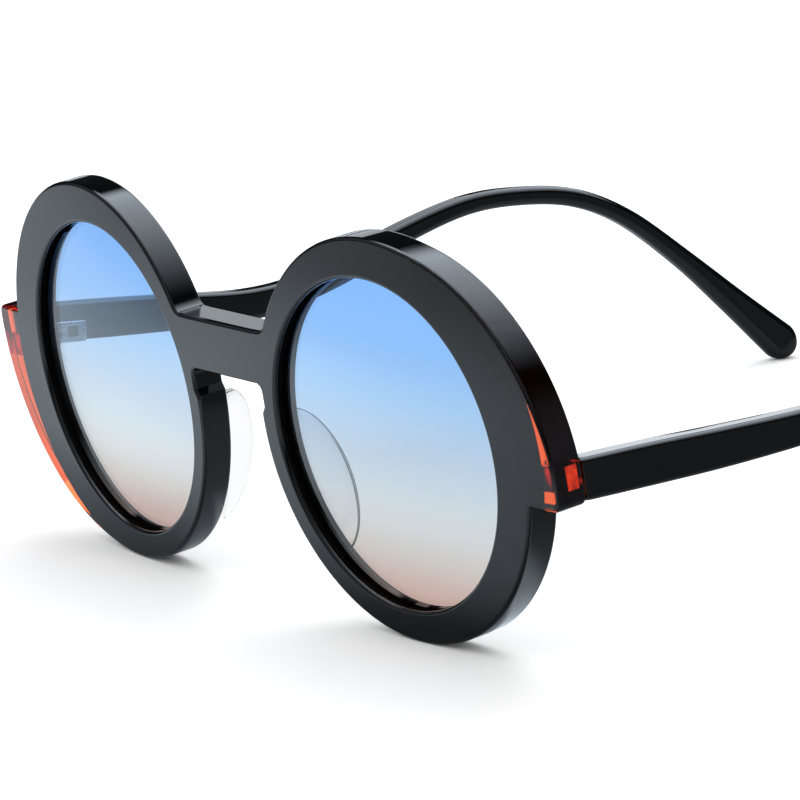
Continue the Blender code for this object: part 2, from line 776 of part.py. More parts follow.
def make_temple(name, side, hand, materials, axis):
    """A temple cut from sheet, with a pocket for its hinge leaf and a bore with its core wire."""
    temple = sheet(name + "_temple", [temple_outline(hand)], TEMPLE_THICKNESS, TEMPLE_EDGE_ROUND, PART)
    right_face = TEMPLE_OUTER if side > 0 else -TEMPLE_INNER
    sideways = Matrix.Rotation(math.pi / 2, 4, "Z")
    bake(temple, Matrix.Translation((right_face, 0.0, 0.0)) @ sideways)
    pocket = leaf_box(name + "_leaf_pocket", side, hand, HINGE_FIT_GAP, CUTTERS)
    bore_points = wire_points(side, hand, WIRE_SETBACK + OVERRUN)
    last_step = Vector(bore_points[-1]) - Vector(bore_points[-2])
    bore_end = Vector(bore_points[-1]) + last_step.normalized() * 2 * WIRE_CLEARANCE
    bore = tube(name + "_bore", [*bore_points[:-1], bore_end], WIRE_RADIUS + WIRE_CLEARANCE, CUTTERS)
    cut(temple, (pocket, bore))
    wire = tube(name + "_core_wire", wire_points(side, hand, 0.0), WIRE_RADIUS, PART)
    for item in (temple, wire):
        bend_inward(item, side)
        bake(item, Matrix.Translation(-axis.location))
    finish(temple, name + "_temple", materials["black"], axis)
    finish(wire, name + "_core_wire", materials["steel"], axis)


def hide_cutters():
    """Show the cutters as wire, and keep them out of renders."""
    for item in CUTTERS.objects:
        item.hide_render = True
        item.hide_viewport = True
        item.display_type = "WIRE"


def set_on_ground(stand):
    """Move the stand so that the glasses touch z = 0 with the middle of their outline at x = y = 0."""
    bpy.context.view_layer.update()
    corners = []
    for item in PART.objects:
        if item.type == "MESH":
            corners += [item.matrix_world @ vertex.co for vertex in item.data.vertices]
    lows = [min(corner[k] for corner in corners) for k in range(3)]
    highs = [max(corner[k] for corner in corners) for k in range(3)]
    stand.location.x -= (lows[0] + highs[0]) / 2
    stand.location.y -= (lows[1] + highs[1]) / 2
    stand.location.z -= lows[2]
    bpy.context.view_layer.update()


def main():
    """Build every piece."""
    materials = {
        "black": make_material("black_acetate", (0.010, 0.010, 0.011), 0.12),
        "wing": make_material("orange_red_acetate", (0.80, 0.060, 0.020), 0.10),
        "lens": make_material("gradient_lens", (0.42, 0.60, 0.82), 0.05),
        "clear": make_material("clear_acetate", (0.85, 0.86, 0.86), 0.10),
        "steel": make_material("hinge_steel", (0.62, 0.62, 0.64), 0.28, 1.0),
    }
    stand = add_empty("stand")
    stand.rotation_euler.x = PANTOSCOPIC_TILT
    make_front(materials, stand)
    for name, side in SIDES.items():
        hand = side
        axis = add_empty(name + "_hinge_axis", stand, (side * PIVOT_REACH, PIVOT_BACK, 0.0))
        make_lens(name, side, materials, stand)
        make_pad(name, side, materials, stand)
        make_front_hinge(name, side, hand, materials, stand)
        make_temple_hinge(name, side, hand, materials, axis)
        make_screw(name, side, hand, materials, stand)
        make_temple(name, side, hand, materials, axis)
    hide_cutters()
    set_on_ground(stand)


clear_scene()
PART = make_collection("round_sunglasses")
CUTTERS = make_collection("cutters")
main()
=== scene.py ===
# %% [markdown]
# # Round acetate sunglasses
#
# Acetate glasses are cut from flat sheet, tumbled until every edge is soft, and polished to a deep
# gloss. So almost every shape here starts as a flat outline with a thickness and a rounded edge.
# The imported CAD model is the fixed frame: it says where each piece is and what moves. Each step
# below makes one piece again with finer curves and its real finish, in metres, in the same place.

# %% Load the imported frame
import json
import math

import bmesh
import bpy
from mathutils import Matrix, Vector


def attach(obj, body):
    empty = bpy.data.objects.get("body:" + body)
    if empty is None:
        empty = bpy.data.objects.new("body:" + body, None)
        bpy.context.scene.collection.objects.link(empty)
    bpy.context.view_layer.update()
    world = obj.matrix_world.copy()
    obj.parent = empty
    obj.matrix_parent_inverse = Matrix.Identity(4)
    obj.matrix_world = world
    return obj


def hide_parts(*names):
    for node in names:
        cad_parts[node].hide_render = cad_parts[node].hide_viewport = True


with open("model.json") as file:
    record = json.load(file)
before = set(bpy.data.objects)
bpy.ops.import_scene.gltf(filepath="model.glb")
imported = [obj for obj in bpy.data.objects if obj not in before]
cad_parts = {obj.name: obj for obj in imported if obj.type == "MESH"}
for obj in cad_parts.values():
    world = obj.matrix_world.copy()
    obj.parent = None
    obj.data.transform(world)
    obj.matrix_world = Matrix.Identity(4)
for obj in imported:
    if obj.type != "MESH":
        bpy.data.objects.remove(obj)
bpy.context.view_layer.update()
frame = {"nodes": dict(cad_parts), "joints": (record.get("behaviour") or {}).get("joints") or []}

# %% [markdown]
# ## Sizes
#
# The front is drawn upright, with x to the right, y back from the rims' front face and z up from
# the lens centres. The numbers are the maker's: rim, bridge, wing, lens, hinge and temple.

# %% Sizes in metres
SIDES = {"left": -1, "right": 1}
RIM_RADIUS = 0.0300
FRONT_THICKNESS = 0.0051
INNER_EDGE = 0.00865
HALF_SPACING = INNER_EDGE + RIM_RADIUS
EDGE_ROUND = 0.0006
FORM_SLOPE = math.tan(math.radians(4.0))
APERTURE_RADIUS = 0.02458
APERTURE_INSET = 0.0018
APERTURE_DROP = 0.0008
BRIDGE_TOP = 0.0134
BRIDGE_BOTTOM = 0.0050
BRIDGE_FILLET = 0.0020
NOTCH_DEPTH = 0.0007
NOTCH_FILLET = 0.0012
NOTCH_FLOOR = 0.0017
NOTCH_LIP = 0.0007
WING_RADIUS = 0.0323
WING_SHIFT = Vector((0.0035, -0.0032))
WING_END_DROP = 0.0057
WING_CORNER = 0.0012
WING_TIP_ANGLE = math.radians(74.0)
WING_EASE = 0.00022
WING_EASE_REACH = 0.010
WING_EASE_LEVEL = 0.02
TEMPLE_OUTER = 0.0740
TEMPLE_THICKNESS = 0.0040
TEMPLE_INNER = TEMPLE_OUTER - TEMPLE_THICKNESS
BARREL_RADIUS = 0.0013
BARREL_SIDE_GAP = 0.0001
BARREL_BACK_GAP = 0.00045
PIVOT_REACH = TEMPLE_INNER - BARREL_SIDE_GAP - BARREL_RADIUS
ARC_STEP = math.radians(1.5)
CORNER_STEP = math.radians(9.0)


def front_setback(x):
    """How far back the front face lies at x: the bridge is flat and the rims lean back."""
    return (max(abs(x), INNER_EDGE) - HALF_SPACING) * FORM_SLOPE


PIVOT_BACK = front_setback(PIVOT_REACH) + FRONT_THICKNESS + BARREL_BACK_GAP + BARREL_RADIUS
print("hinge pins at x = +-", round(PIVOT_REACH, 5), "and y =", round(PIVOT_BACK, 5))

# %% [markdown]
# ## Where the upright front stands
#
# The glasses lean forward on their rims and temple tips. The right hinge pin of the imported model
# was drawn upright too, so its direction gives the lean and its place gives the rest.

# %% The stand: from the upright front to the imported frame
right_fold = {joint["name"]: joint for joint in frame["joints"]}["right_fold"]
pin = Vector(right_fold["axis"])
lean_angle = math.atan2(-pin.y, pin.z)
LEAN = Matrix.Rotation(lean_angle, 4, "X")
foot = Vector(right_fold["pos_m"]) - LEAN @ Vector((PIVOT_REACH, PIVOT_BACK, 0.0))
STAND = Matrix.Translation(foot) @ LEAN
print("lean in degrees:", round(math.degrees(lean_angle), 3), "foot:", [round(v, 5) for v in foot])

# %% [markdown]
# ## The camera
#
# The photograph looks at the glasses from their right, a little above, with a long lens. Its place
# was solved from the outlines of the rims, so the render can be laid over the photograph.

# %% Camera
EYE = Vector((0.60235, -0.35490, 0.18640))
YAW, PITCH, ROLL = math.radians(-57.595), math.radians(-15.159), math.radians(-8.933)
FOCAL_LENGTH_MM, SENSOR_WIDTH_MM = 220.74, 36.0
NEAREST_SEEN = 0.05
forward = Vector((math.sin(YAW) * math.cos(PITCH), math.cos(YAW) * math.cos(PITCH), math.sin(PITCH)))
level = Vector((math.cos(YAW), -math.sin(YAW), 0.0))
upward = level.cross(forward)
right = math.cos(ROLL) * level + math.sin(ROLL) * upward
up = -math.sin(ROLL) * level + math.cos(ROLL) * upward
turn = Matrix((right, up, -forward)).transposed().to_4x4()

camera_data = bpy.data.cameras.new("camera")
camera_data.lens = FOCAL_LENGTH_MM
camera_data.sensor_width = SENSOR_WIDTH_MM
camera_data.clip_start = NEAREST_SEEN
camera = bpy.data.objects.new("camera", camera_data)
bpy.context.scene.collection.objects.link(camera)
camera.matrix_world = STAND @ Matrix.Translation(EYE) @ turn
bpy.context.scene.camera = camera
print("camera at", [round(v, 4) for v in camera.matrix_world.translation])

# %% [markdown]
# ## Writing nodes as sums
#
# A node tree is easier to read as a formula. A Wire holds one output socket, and its operators add
# the Math nodes. The same helper serves shaders and Geometry Nodes.


# %% Wires and nets
class Wire:
    """One socket of a node tree that can be used in a sum."""

    def __init__(self, net, socket):
        self.net = net
        self.socket = socket

    def sum(self, operation, *others, flip=False):
        """A Math node on this wire and others."""
        values = [self, *others]
        if flip:
            values.reverse()
        made = self.net.node("ShaderNodeMath", {"operation": operation}, dict(enumerate(values)))
        return self.net.out(made)

    def __add__(self, other):
        return self.sum("ADD", other)

    __radd__ = __add__

    def __sub__(self, other):
        return self.sum("SUBTRACT", other)

    def __rsub__(self, other):
        return self.sum("SUBTRACT", other, flip=True)

    def __mul__(self, other):
        return self.sum("MULTIPLY", other)

    __rmul__ = __mul__

    def __truediv__(self, other):
        return self.sum("DIVIDE", other)


class Net:
    """A node tree."""

    def __init__(self, tree):
        self.tree = tree

    def node(self, kind, settings=None, values=None):
        """Add a node, set it up, and give its sockets numbers or wires."""
        made = self.tree.nodes.new(kind)
        for key, value in (settings or {}).items():
            setattr(made, key, value)
        for key, value in (values or {}).items():
            if isinstance(value, Wire):
                self.tree.links.new(value.socket, made.inputs[key])
            else:
                made.inputs[key].default_value = value
        return made

    def out(self, made, key=0):
        """A node's output as a wire."""
        return Wire(self, made.outputs[key])

    def get(self, kind, settings=None, values=None, key=0):
        """Add a node and return one of its outputs as a wire."""
        return self.out(self.node(kind, settings, values), key)

    def join(self, wire, made, key):
        """Link a wire to a node's input."""
        self.tree.links.new(wire.socket, made.inputs[key])

    def vector(self, x=0.0, y=0.0, z=0.0):
        """A vector or a colour from three numbers or wires."""
        return self.get("ShaderNodeCombineXYZ", values={"X": x, "Y": y, "Z": z})

    def split(self, wire):
        """The three numbers of a vector, as wires."""
        made = self.node("ShaderNodeSeparateXYZ", values={"Vector": wire})
        return [self.out(made, key) for key in "XYZ"]


print("nodes can be written as sums")

# %% [markdown]
# ## Finishes
#
# Black acetate is a deep black under a clear polish. Hand buffing leaves the surface a few
# thousandths of a millimetre wavy, with a faint haze, which shows as soft bends in reflections.

# %% Material helper
MATERIALS = {}


def new_material(name, **sockets):
    """A Principled material whose named sockets are set, and its net, shader and place wire."""
    material = bpy.data.materials.new(name)
    material.use_nodes = True
    net = Net(material.node_tree)
    shader = material.node_tree.nodes["Principled BSDF"]
    for key, value in sockets.items():
        shader.inputs[key.replace("_", " ")].default_value = value
    place = net.get("ShaderNodeTexCoord", key="Object")
    MATERIALS[name] = material
    return net, shader, place


def noise(net, place, scale, detail=2.0, roughness=0.5):
    """Grey noise between 0 and 1 at a number of cells per metre."""
    return net.get(
        "ShaderNodeTexNoise",
        values={"Vector": place, "Scale": scale, "Detail": detail, "Roughness": roughness},
        key="Fac",
    )


def ramp(net, wire, stops):
    """A colour ramp with stops of (place, colour)."""
    made = net.node("ShaderNodeValToRGB", values={"Fac": wire})
    points = made.color_ramp.elements
    while len(points) < len(stops):
        points.new(0.5)
    for point, (place, colour) in zip(points, stops):
        point.position = place
        point.color = (*colour, 1.0)
    return net.out(made, "Color")


def paint(net, shader, wire, *stops):
    """Colour a surface by a wire, through a ramp with stops of (place, colour)."""
    net.join(ramp(net, wire, stops), shader, "Base Color")


def bump(net, shader, height, strength, distance):
    """Roughen a shader's normal by a height."""
    made = net.node("ShaderNodeBump", values={"Height": height, "Strength": strength, "Distance": distance})
    net.join(net.out(made, "Normal"), shader, "Normal")


# %% Black acetate
HAZE_PER_METRE, WAVES_PER_METRE = 240.0, 110.0
WAVE_STRENGTH, WAVE_HEIGHT = 0.25, 0.00004


def polish(net, shader, place, low, high):
    """The buffed surface of acetate: a faint haze and a slight waviness."""
    haze = noise(net, place, HAZE_PER_METRE, 3.0) * (high - low) + low
    net.join(haze, shader, "Roughness")
    bump(net, shader, noise(net, place, WAVES_PER_METRE, 1.0), WAVE_STRENGTH, WAVE_HEIGHT)


net, shader, place = new_material("black acetate", IOR=1.48)
depth = noise(net, place, 90.0, 3.0)
paint(net, shader, depth, (0.30, (0.0008, 0.0009, 0.0010)), (0.72, (0.0021, 0.0022, 0.0025)))
polish(net, shader, place, 0.02, 0.045)

# Faces bonded to a wing, lens grooves and the walls before the lenses have no polish and no gloss.
net, shader, place = new_material("bonded black", Roughness=1.0, Specular_IOR_Level=0.0)
paint(net, shader, noise(net, place, 90.0), (0.3, (0.003, 0.003, 0.003)), (0.7, (0.006, 0.005, 0.005)))

print("black finishes:", sorted(MATERIALS))

# %% [markdown]
# The wings are a translucent orange-red acetate. Its dye sits in the depth of the sheet, so a thin
# end looks light orange and a thick one deep red, and black behind it turns it maroon. Volume
# absorption does that: the colour builds up with every millimetre. Fine darker threads follow the
# curve, as the sheet was drawn, so the thread pattern is noise on the distance from the rim's centre.

# %% Wing, pad, lens and metal
THREADS_PER_METRE, BENDS_PER_METRE, CLOUDS_PER_METRE = 2600.0, 60.0, 160.0
DYE_COLOUR, DYE_DENSITY = (0.98, 0.45, 0.0, 1.0), 600.0
net, shader, place = new_material("orange-red acetate", IOR=1.48, Transmission_Weight=1.0)
place_x, _, place_z = net.split(place)
sideways = place_x.sum("ABSOLUTE") - HALF_SPACING
upwards = place_z - foot.z
distance = (sideways * sideways + upwards * upwards).sum("SQRT")
bends = sideways * BENDS_PER_METRE, upwards * BENDS_PER_METRE
thread = noise(net, net.vector(distance * THREADS_PER_METRE, *bends), 1.0, 2.0, 0.6)
cloud = noise(net, place, CLOUDS_PER_METRE, 3.0, 0.6)
figure = thread * 0.65 + cloud * 0.35
paint(net, shader, figure, (0.30, (0.86, 0.50, 0.42)), (0.42, (0.97, 0.86, 0.80)), (0.62, (1.0, 0.97, 0.94)))
polish(net, shader, place, 0.02, 0.04)
dye = net.node("ShaderNodeVolumeAbsorption", values={"Color": DYE_COLOUR, "Density": DYE_DENSITY})
net.join(net.out(dye, "Volume"), net.tree.nodes["Material Output"], "Volume")

# In the photograph the left pad has hardly an outline and the right one a dark one, so each pad
# bends light by an amount of its own.
for name, bending in (("left", 1.15), ("right", 1.46)):
    net, shader, place = new_material(name + " clear acetate", IOR=bending, Transmission_Weight=1.0)
    cloud = noise(net, place, 120.0)
    paint(net, shader, cloud, (0.3, (0.955, 0.955, 0.965)), (0.7, (0.975, 0.975, 0.985)))
    polish(net, shader, place, 0.03, 0.07)

# A gradient lens is dyed by dipping: the longer a band stays in the dye, the deeper its blue.
net, shader, place = new_material("gradient lens", IOR=1.50, Transmission_Weight=1.0)
height = net.split(place)[2]
lens_low, lens_high = foot.z - APERTURE_DROP - APERTURE_RADIUS, foot.z - APERTURE_DROP + APERTURE_RADIUS
paint(
    net,
    shader,
    (height - lens_low) / (lens_high - lens_low),
    (0.02, (0.64, 0.44, 0.39)),
    (0.09, (0.66, 0.52, 0.475)),
    (0.17, (0.66, 0.63, 0.59)),
    (0.25, (0.67, 0.69, 0.705)),
    (0.33, (0.63, 0.705, 0.745)),
    (0.49, (0.48, 0.61, 0.76)),
    (0.64, (0.36, 0.58, 0.855)),
    (0.80, (0.26, 0.51, 0.925)),
    (0.95, (0.22, 0.475, 0.97)),
)
net.join(noise(net, place, 60.0) * 0.01, shader, "Roughness")

GRAIN_PER_METRE, GRAIN_STRETCH = 9000.0, (1.0, 0.08, 1.0)
METAL_ROUGH, METAL_SPREAD = 0.20, 0.16
net, shader, place = new_material("hinge metal", Metallic=1.0)
grain = net.get("ShaderNodeMapping", values={"Vector": place, "Scale": GRAIN_STRETCH})
lines = noise(net, grain, GRAIN_PER_METRE, 2.0)
net.join(lines * METAL_SPREAD + METAL_ROUGH, shader, "Roughness")
paint(net, shader, lines, (0.2, (0.56, 0.55, 0.54)), (0.8, (0.74, 0.73, 0.72)))
bump(net, shader, lines, 0.06, 0.00002)

# The anchor is painted red: the colour stands in for the light that comes through the red acetate round it,
# not for the metal's own colour.
net, shader, place = new_material("buried metal with painted red light", Metallic=1.0, Roughness=0.12)
paint(net, shader, noise(net, place, 700.0, 2.0), (0.35, (0.42, 0.05, 0.04)), (0.65, (0.80, 0.10, 0.06)))
print("finishes:", sorted(MATERIALS))

# %% [markdown]
# ## Tools for sheet-cut pieces
#
# A flat curve filled on both sides is a sheet. Its bevel is the tumbled edge. A Boolean cuts what
# the router cuts, but leaves slim triangles that would dent a reflection. So the corner normals are
# written here: a wide flat face keeps its own, and the rounding beside it turns out of that one.


# %% Helpers for meshes
BEVEL_STEPS = 3
MERGE_DISTANCE = 0.000002
ONE_PLANE_ANGLE = math.radians(0.2)
ONE_PLANE_COSINE = 0.99996
FACES_Y_COSINE = 0.95


def add_object(name, mesh):
    """An object in the scene for a mesh."""
    item = bpy.data.objects.new(name, mesh)
    bpy.context.scene.collection.objects.link(item)
    return item


def applied(item):
    """Make an object's modifiers part of its mesh."""
    graph = bpy.context.evaluated_depsgraph_get()
    mesh = bpy.data.meshes.new_from_object(item.evaluated_get(graph))
    item.modifiers.clear()
    item.data = mesh
    return item


def boolean(item, other, operation):
    """Cut an object by another, or keep what they share, and delete the other."""
    modifier = item.modifiers.new("cut", "BOOLEAN")
    modifier.object = other
    modifier.operation = operation
    modifier.solver = "EXACT"
    applied(item)
    bpy.data.objects.remove(other, do_unlink=True)


def box(name, low, high):
    """A box between two corners."""
    body = bmesh.new()
    bmesh.ops.create_cube(body, size=1.0)
    size = [b - a for a, b in zip(low, high)]
    middle = [(a + b) / 2 for a, b in zip(low, high)]
    body.transform(Matrix.Translation(middle) @ Matrix.Diagonal((*size, 1.0)))
    mesh = bpy.data.meshes.new(name)
    body.to_mesh(mesh)
    body.free()
    return add_object(name, mesh)


def arc(centre, radius, start, end, step=ARC_STEP):
    """Points on an arc, both ends included."""
    count = max(1, round(abs(end - start) / step))
    angles = [start + (end - start) * k / count for k in range(count + 1)]
    return [(centre[0] + radius * math.cos(a), centre[1] + radius * math.sin(a)) for a in angles]


def sheet(name, outlines, thickness, edge):
    """Flat outlines of (x, z) points cut from a sheet, front face at y = 0, with rounded edges."""
    curve = bpy.data.curves.new(name, "CURVE")
    curve.dimensions = "2D"
    curve.fill_mode = "BOTH"
    curve.bevel_depth = edge
    curve.bevel_resolution = BEVEL_STEPS
    curve.offset = -edge
    curve.extrude = thickness / 2 - edge
    for points in outlines:
        spline = curve.splines.new("POLY")
        spline.points.add(len(points) - 1)
        for point, (x, z) in zip(spline.points, points):
            point.co = (x, z, 0.0, 1.0)
        spline.use_cyclic_u = True
    source = add_object(name, curve)
    graph = bpy.context.evaluated_depsgraph_get()
    mesh = bpy.data.meshes.new_from_object(source.evaluated_get(graph))
    bpy.data.objects.remove(source, do_unlink=True)
    body = bmesh.new()
    body.from_mesh(mesh)
    bmesh.ops.remove_doubles(body, verts=body.verts, dist=MERGE_DISTANCE)
    bmesh.ops.recalc_face_normals(body, faces=body.faces)
    body.transform(Matrix.Translation((0.0, thickness / 2, 0.0)) @ Matrix.Rotation(math.pi / 2, 4, "X"))
    body.to_mesh(mesh)
    body.free()
    return add_object(name, mesh)


def join_flat(item):
    """Join the faces that lie in one plane, so that no slivers are left between them."""
    body = bmesh.new()
    body.from_mesh(item.data)
    bmesh.ops.dissolve_limit(body, angle_limit=ONE_PLANE_ANGLE, verts=body.verts, edges=body.edges)
    body.to_mesh(item.data)
    body.free()


def flat_patches(mesh, wide):
    """The normal of the flat patch that each face is part of, or None where it is less than wide."""
    faces = mesh.polygons
    beside = {}
    for face in faces:
        for key in face.edge_keys:
            beside.setdefault(key, []).append(face.index)
    normals = {}
    for first in faces:
        if first.index in normals:
            continue
        normals[first.index] = None
        patch, queue = [], [first.index]
        while queue:
            patch.append(queue.pop())
            for key in faces[patch[-1]].edge_keys:
                for other in beside[key]:
                    if other not in normals and faces[other].normal.dot(first.normal) > ONE_PLANE_COSINE:
                        normals[other] = None
                        queue.append(other)
        if sum(faces[k].area for k in patch) > wide:
            normal = sum((faces[k].normal * faces[k].area for k in patch), Vector()).normalized()
            for k in patch:
                normals[k] = tuple(normal)
    return normals


def smooth(item, angle=32.0, wide=None, bow=None):
    """Smooth shading with crisp edges above an angle, and flat faces above an area, if one is given.

    A bow is the radius that the wide front and back faces are bent to.
    """
    mesh = item.data
    mesh.shade_smooth()
    if wide is None:
        mesh.set_sharp_from_angle(angle=math.radians(angle))
        return item
    flat = flat_patches(mesh, wide)
    around = {}
    for face in mesh.polygons:
        for corner in face.vertices:
            around.setdefault(corner, []).append(face)
    limit = math.cos(math.radians(angle))
    normals = []
    for face in mesh.polygons:
        for corner in face.vertices:
            near = [other for other in around[corner] if other.normal.dot(face.normal) > limit]
            broad = {flat[other.index] for other in near} - {None}
            if flat[face.index]:
                normal = Vector(flat[face.index])
            elif broad:
                normal = sum((Vector(value) for value in broad), Vector())
            else:
                normal = sum((other.normal * other.area for other in near), Vector())
            if bow and (flat[face.index] or broad) and abs(normal.y) > FACES_Y_COSINE * normal.length:
                sign = math.copysign(1.0, normal.y)
                normal = Vector((-sign * mesh.vertices[corner].co.x / bow, sign, 0.0))
            normals.append(normal.normalized())
    mesh.normals_split_custom_set(normals)
    return item


def hand_over(item, name, material, slot, body, *nodes):
    """Name a finished piece, put it in its place and on its body, and let it stand for CAD nodes."""
    item.data.transform(STAND)
    item.matrix_world = Matrix.Identity(4)
    item.name = name
    if isinstance(material, str):
        item.data.materials.clear()
        item.data.materials.append(MATERIALS[material])
    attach(item, body)
    if nodes:
        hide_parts(*nodes)
    print(name, "-", len(item.data.polygons), "faces")
    return item


# %% [markdown]
# ## The front
#
# Black and orange sheet are bonded first and cut as one, so the wings run flush with the rims. The
# whole outline is drawn once, with two round apertures. A barrel-shaped core then parts wing from
# rim. The wing's inner wall lies a little inside the black, as two bonded sheets have no air
# between them: light in the wing meets black, not a mirror.


# %% Outline of the front
def bridge_corner():
    """The corner arc between the bridge's top edge and the right rim, and the rim's angle at its end."""
    level = BRIDGE_TOP + BRIDGE_FILLET
    run = math.sqrt((RIM_RADIUS + BRIDGE_FILLET) ** 2 - level**2)
    centre = (HALF_SPACING - run, level)
    corner = arc(centre, BRIDGE_FILLET, -math.pi / 2, math.atan2(-level, run), CORNER_STEP)
    return corner, math.atan2(level, -run)


def nose_notch():
    """The small notch under the bridge, from its bottom edge to the rim, and the rim's angle there."""
    wall = INNER_EDGE + NOTCH_DEPTH
    centre = (wall - NOTCH_FILLET, BRIDGE_BOTTOM - NOTCH_FILLET)
    corner = arc(centre, NOTCH_FILLET, math.pi / 2, 0.0, CORNER_STEP)
    run = math.sqrt(RIM_RADIUS**2 - NOTCH_LIP**2)
    return [*corner, (wall, NOTCH_FLOOR), (HALF_SPACING - run, NOTCH_LIP)], math.atan2(NOTCH_LIP, -run)


def wing_arc(hand):
    """The wing's outer arc and rounded corner about the lens centre, and the rim's angle at its start."""
    reach = WING_SHIFT.length
    away = (RIM_RADIUS**2 + reach**2 - WING_RADIUS**2) / (2 * RIM_RADIUS * reach)
    meets = math.atan2(WING_SHIFT.y, WING_SHIFT.x) + math.acos(away)
    rim_point = Vector((math.cos(meets), math.sin(meets))) * RIM_RADIUS - WING_SHIFT
    level = WING_CORNER - WING_END_DROP
    across = math.sqrt((WING_RADIUS - WING_CORNER) ** 2 - (level - WING_SHIFT.y) ** 2)
    bend = math.atan2(level - WING_SHIFT.y, across)
    corner = arc((WING_SHIFT.x + across, level), WING_CORNER, bend, -math.pi / 2, CORNER_STEP)
    points = arc(WING_SHIFT, WING_RADIUS, math.atan2(rim_point.y, rim_point.x), bend) + corner[1:]
    return [(x, z * hand) for x, z in points], meets * hand


def eased(point):
    """A point of the outline, moved out a little where rim and wing meet, so that they blend."""
    angle = math.atan2(point[1], point[0])
    reach = WING_SHIFT.length
    off = angle - math.atan2(WING_SHIFT.y, WING_SHIFT.x)
    stands = reach * math.cos(off) + math.sqrt(WING_RADIUS**2 - (reach * math.sin(off)) ** 2) - RIM_RADIUS
    smoother = (stands + math.sqrt(stands**2 + 4 * WING_EASE**2)) / 2
    share = min(1.0, max(0.0, point[0] / WING_EASE_REACH))
    grow = (smoother - max(stands, 0.0)) * share**2 * (3 - 2 * share)
    return (point[0] + grow * math.cos(angle), point[1] + grow * math.sin(angle))


def ease_some(points, hand, wanted):
    """Ease the points that a test holds for, all turned so that the wing points up."""
    turned_up = [(x, hand * z) for x, z in points]
    return [(x, hand * z) for x, z in (eased(point) if wanted(point) else point for point in turned_up)]


def half_outline(hand):
    """The right half of the outline, clockwise from the bridge's top to its bottom."""
    top, top_angle = bridge_corner()
    bottom, bottom_angle = nose_notch()
    wing, meets = wing_arc(hand)
    end_angle = -hand * math.asin(WING_END_DROP / RIM_RADIUS)
    before, after = (meets, end_angle) if hand > 0 else (end_angle, meets)
    if hand < 0:
        wing = wing[::-1]
    wing = ease_some(wing, hand, lambda point: point[1] > WING_EASE_LEVEL)
    rim_top = arc((0.0, 0.0), RIM_RADIUS, top_angle, before)
    rim_bottom = arc((0.0, 0.0), RIM_RADIUS, after, bottom_angle - math.tau * (bottom_angle > 0))
    if hand > 0:
        rim_top = ease_some(rim_top, hand, lambda point: point[0] > 0.0)
    else:
        rim_bottom = ease_some(rim_bottom, hand, lambda point: point[0] > 0.0)
    eye = rim_top[1:-1] + ([rim_top[-1]] if hand < 0 else []) + wing
    eye += rim_bottom[:-1] if hand > 0 else rim_bottom[1:-1]
    return top + [(x + HALF_SPACING, z) for x, z in eye] + bottom[::-1]


outline = half_outline(1) + [(-x, z) for x, z in half_outline(-1)][::-1]
apertures = []
for side in SIDES.values():
    centre = (side * (HALF_SPACING - APERTURE_INSET), -APERTURE_DROP)
    apertures.append(arc(centre, APERTURE_RADIUS, 0.0, math.tau)[:-1])
blank = sheet("front blank", [outline, *apertures], FRONT_THICKNESS, EDGE_ROUND)
print("outline points:", len(outline), "blank faces:", len(blank.data.polygons))


# %% [markdown]
# ## A loft along a rail
#
# Turned parts and temples follow one rule: a section is carried along a rail, and its width, height
# and corner radius change on the way. Each rail point stores them as attributes. A Geometry Nodes
# grid has a row for each rail point and a column for each step round the section, and Set Position
# wraps it. A row of no size closes an end.


# %% Loft by Geometry Nodes
def rail_mesh(name, rows):
    """A line of points with the section's size on each: (place, across, up, wide, tall, corner)."""
    mesh = bpy.data.meshes.new(name)
    mesh.from_pydata([row[0] for row in rows], [(k, k + 1) for k in range(len(rows) - 1)], [])
    for key, index in (("across", 1), ("up", 2)):
        layer = mesh.attributes.new(key, "FLOAT_VECTOR", "POINT")
        for point, row in zip(layer.data, rows):
            point.vector = row[index]
    for key, index in (("wide", 3), ("tall", 4), ("corner", 5)):
        layer = mesh.attributes.new(key, "FLOAT", "POINT")
        for point, row in zip(layer.data, rows):
            point.value = row[index]
    return mesh


def add_socket(tree, name, kind, direction="INPUT", value=None):
    """A named input or output of a Geometry Nodes group."""
    item = tree.interface.new_socket(name=name, in_out=direction, socket_type=kind)
    if value is not None:
        item.default_value = value
    return item


def end_tree(net, geometry, finish, output):
    """End a tree with its instances made real and its material set."""
    whole = net.get("GeometryNodeRealizeInstances", values={"Geometry": geometry})
    painted = net.get("GeometryNodeSetMaterial", values={"Geometry": whole, "Material": finish})
    net.join(painted, net.node("NodeGroupOutput"), output)


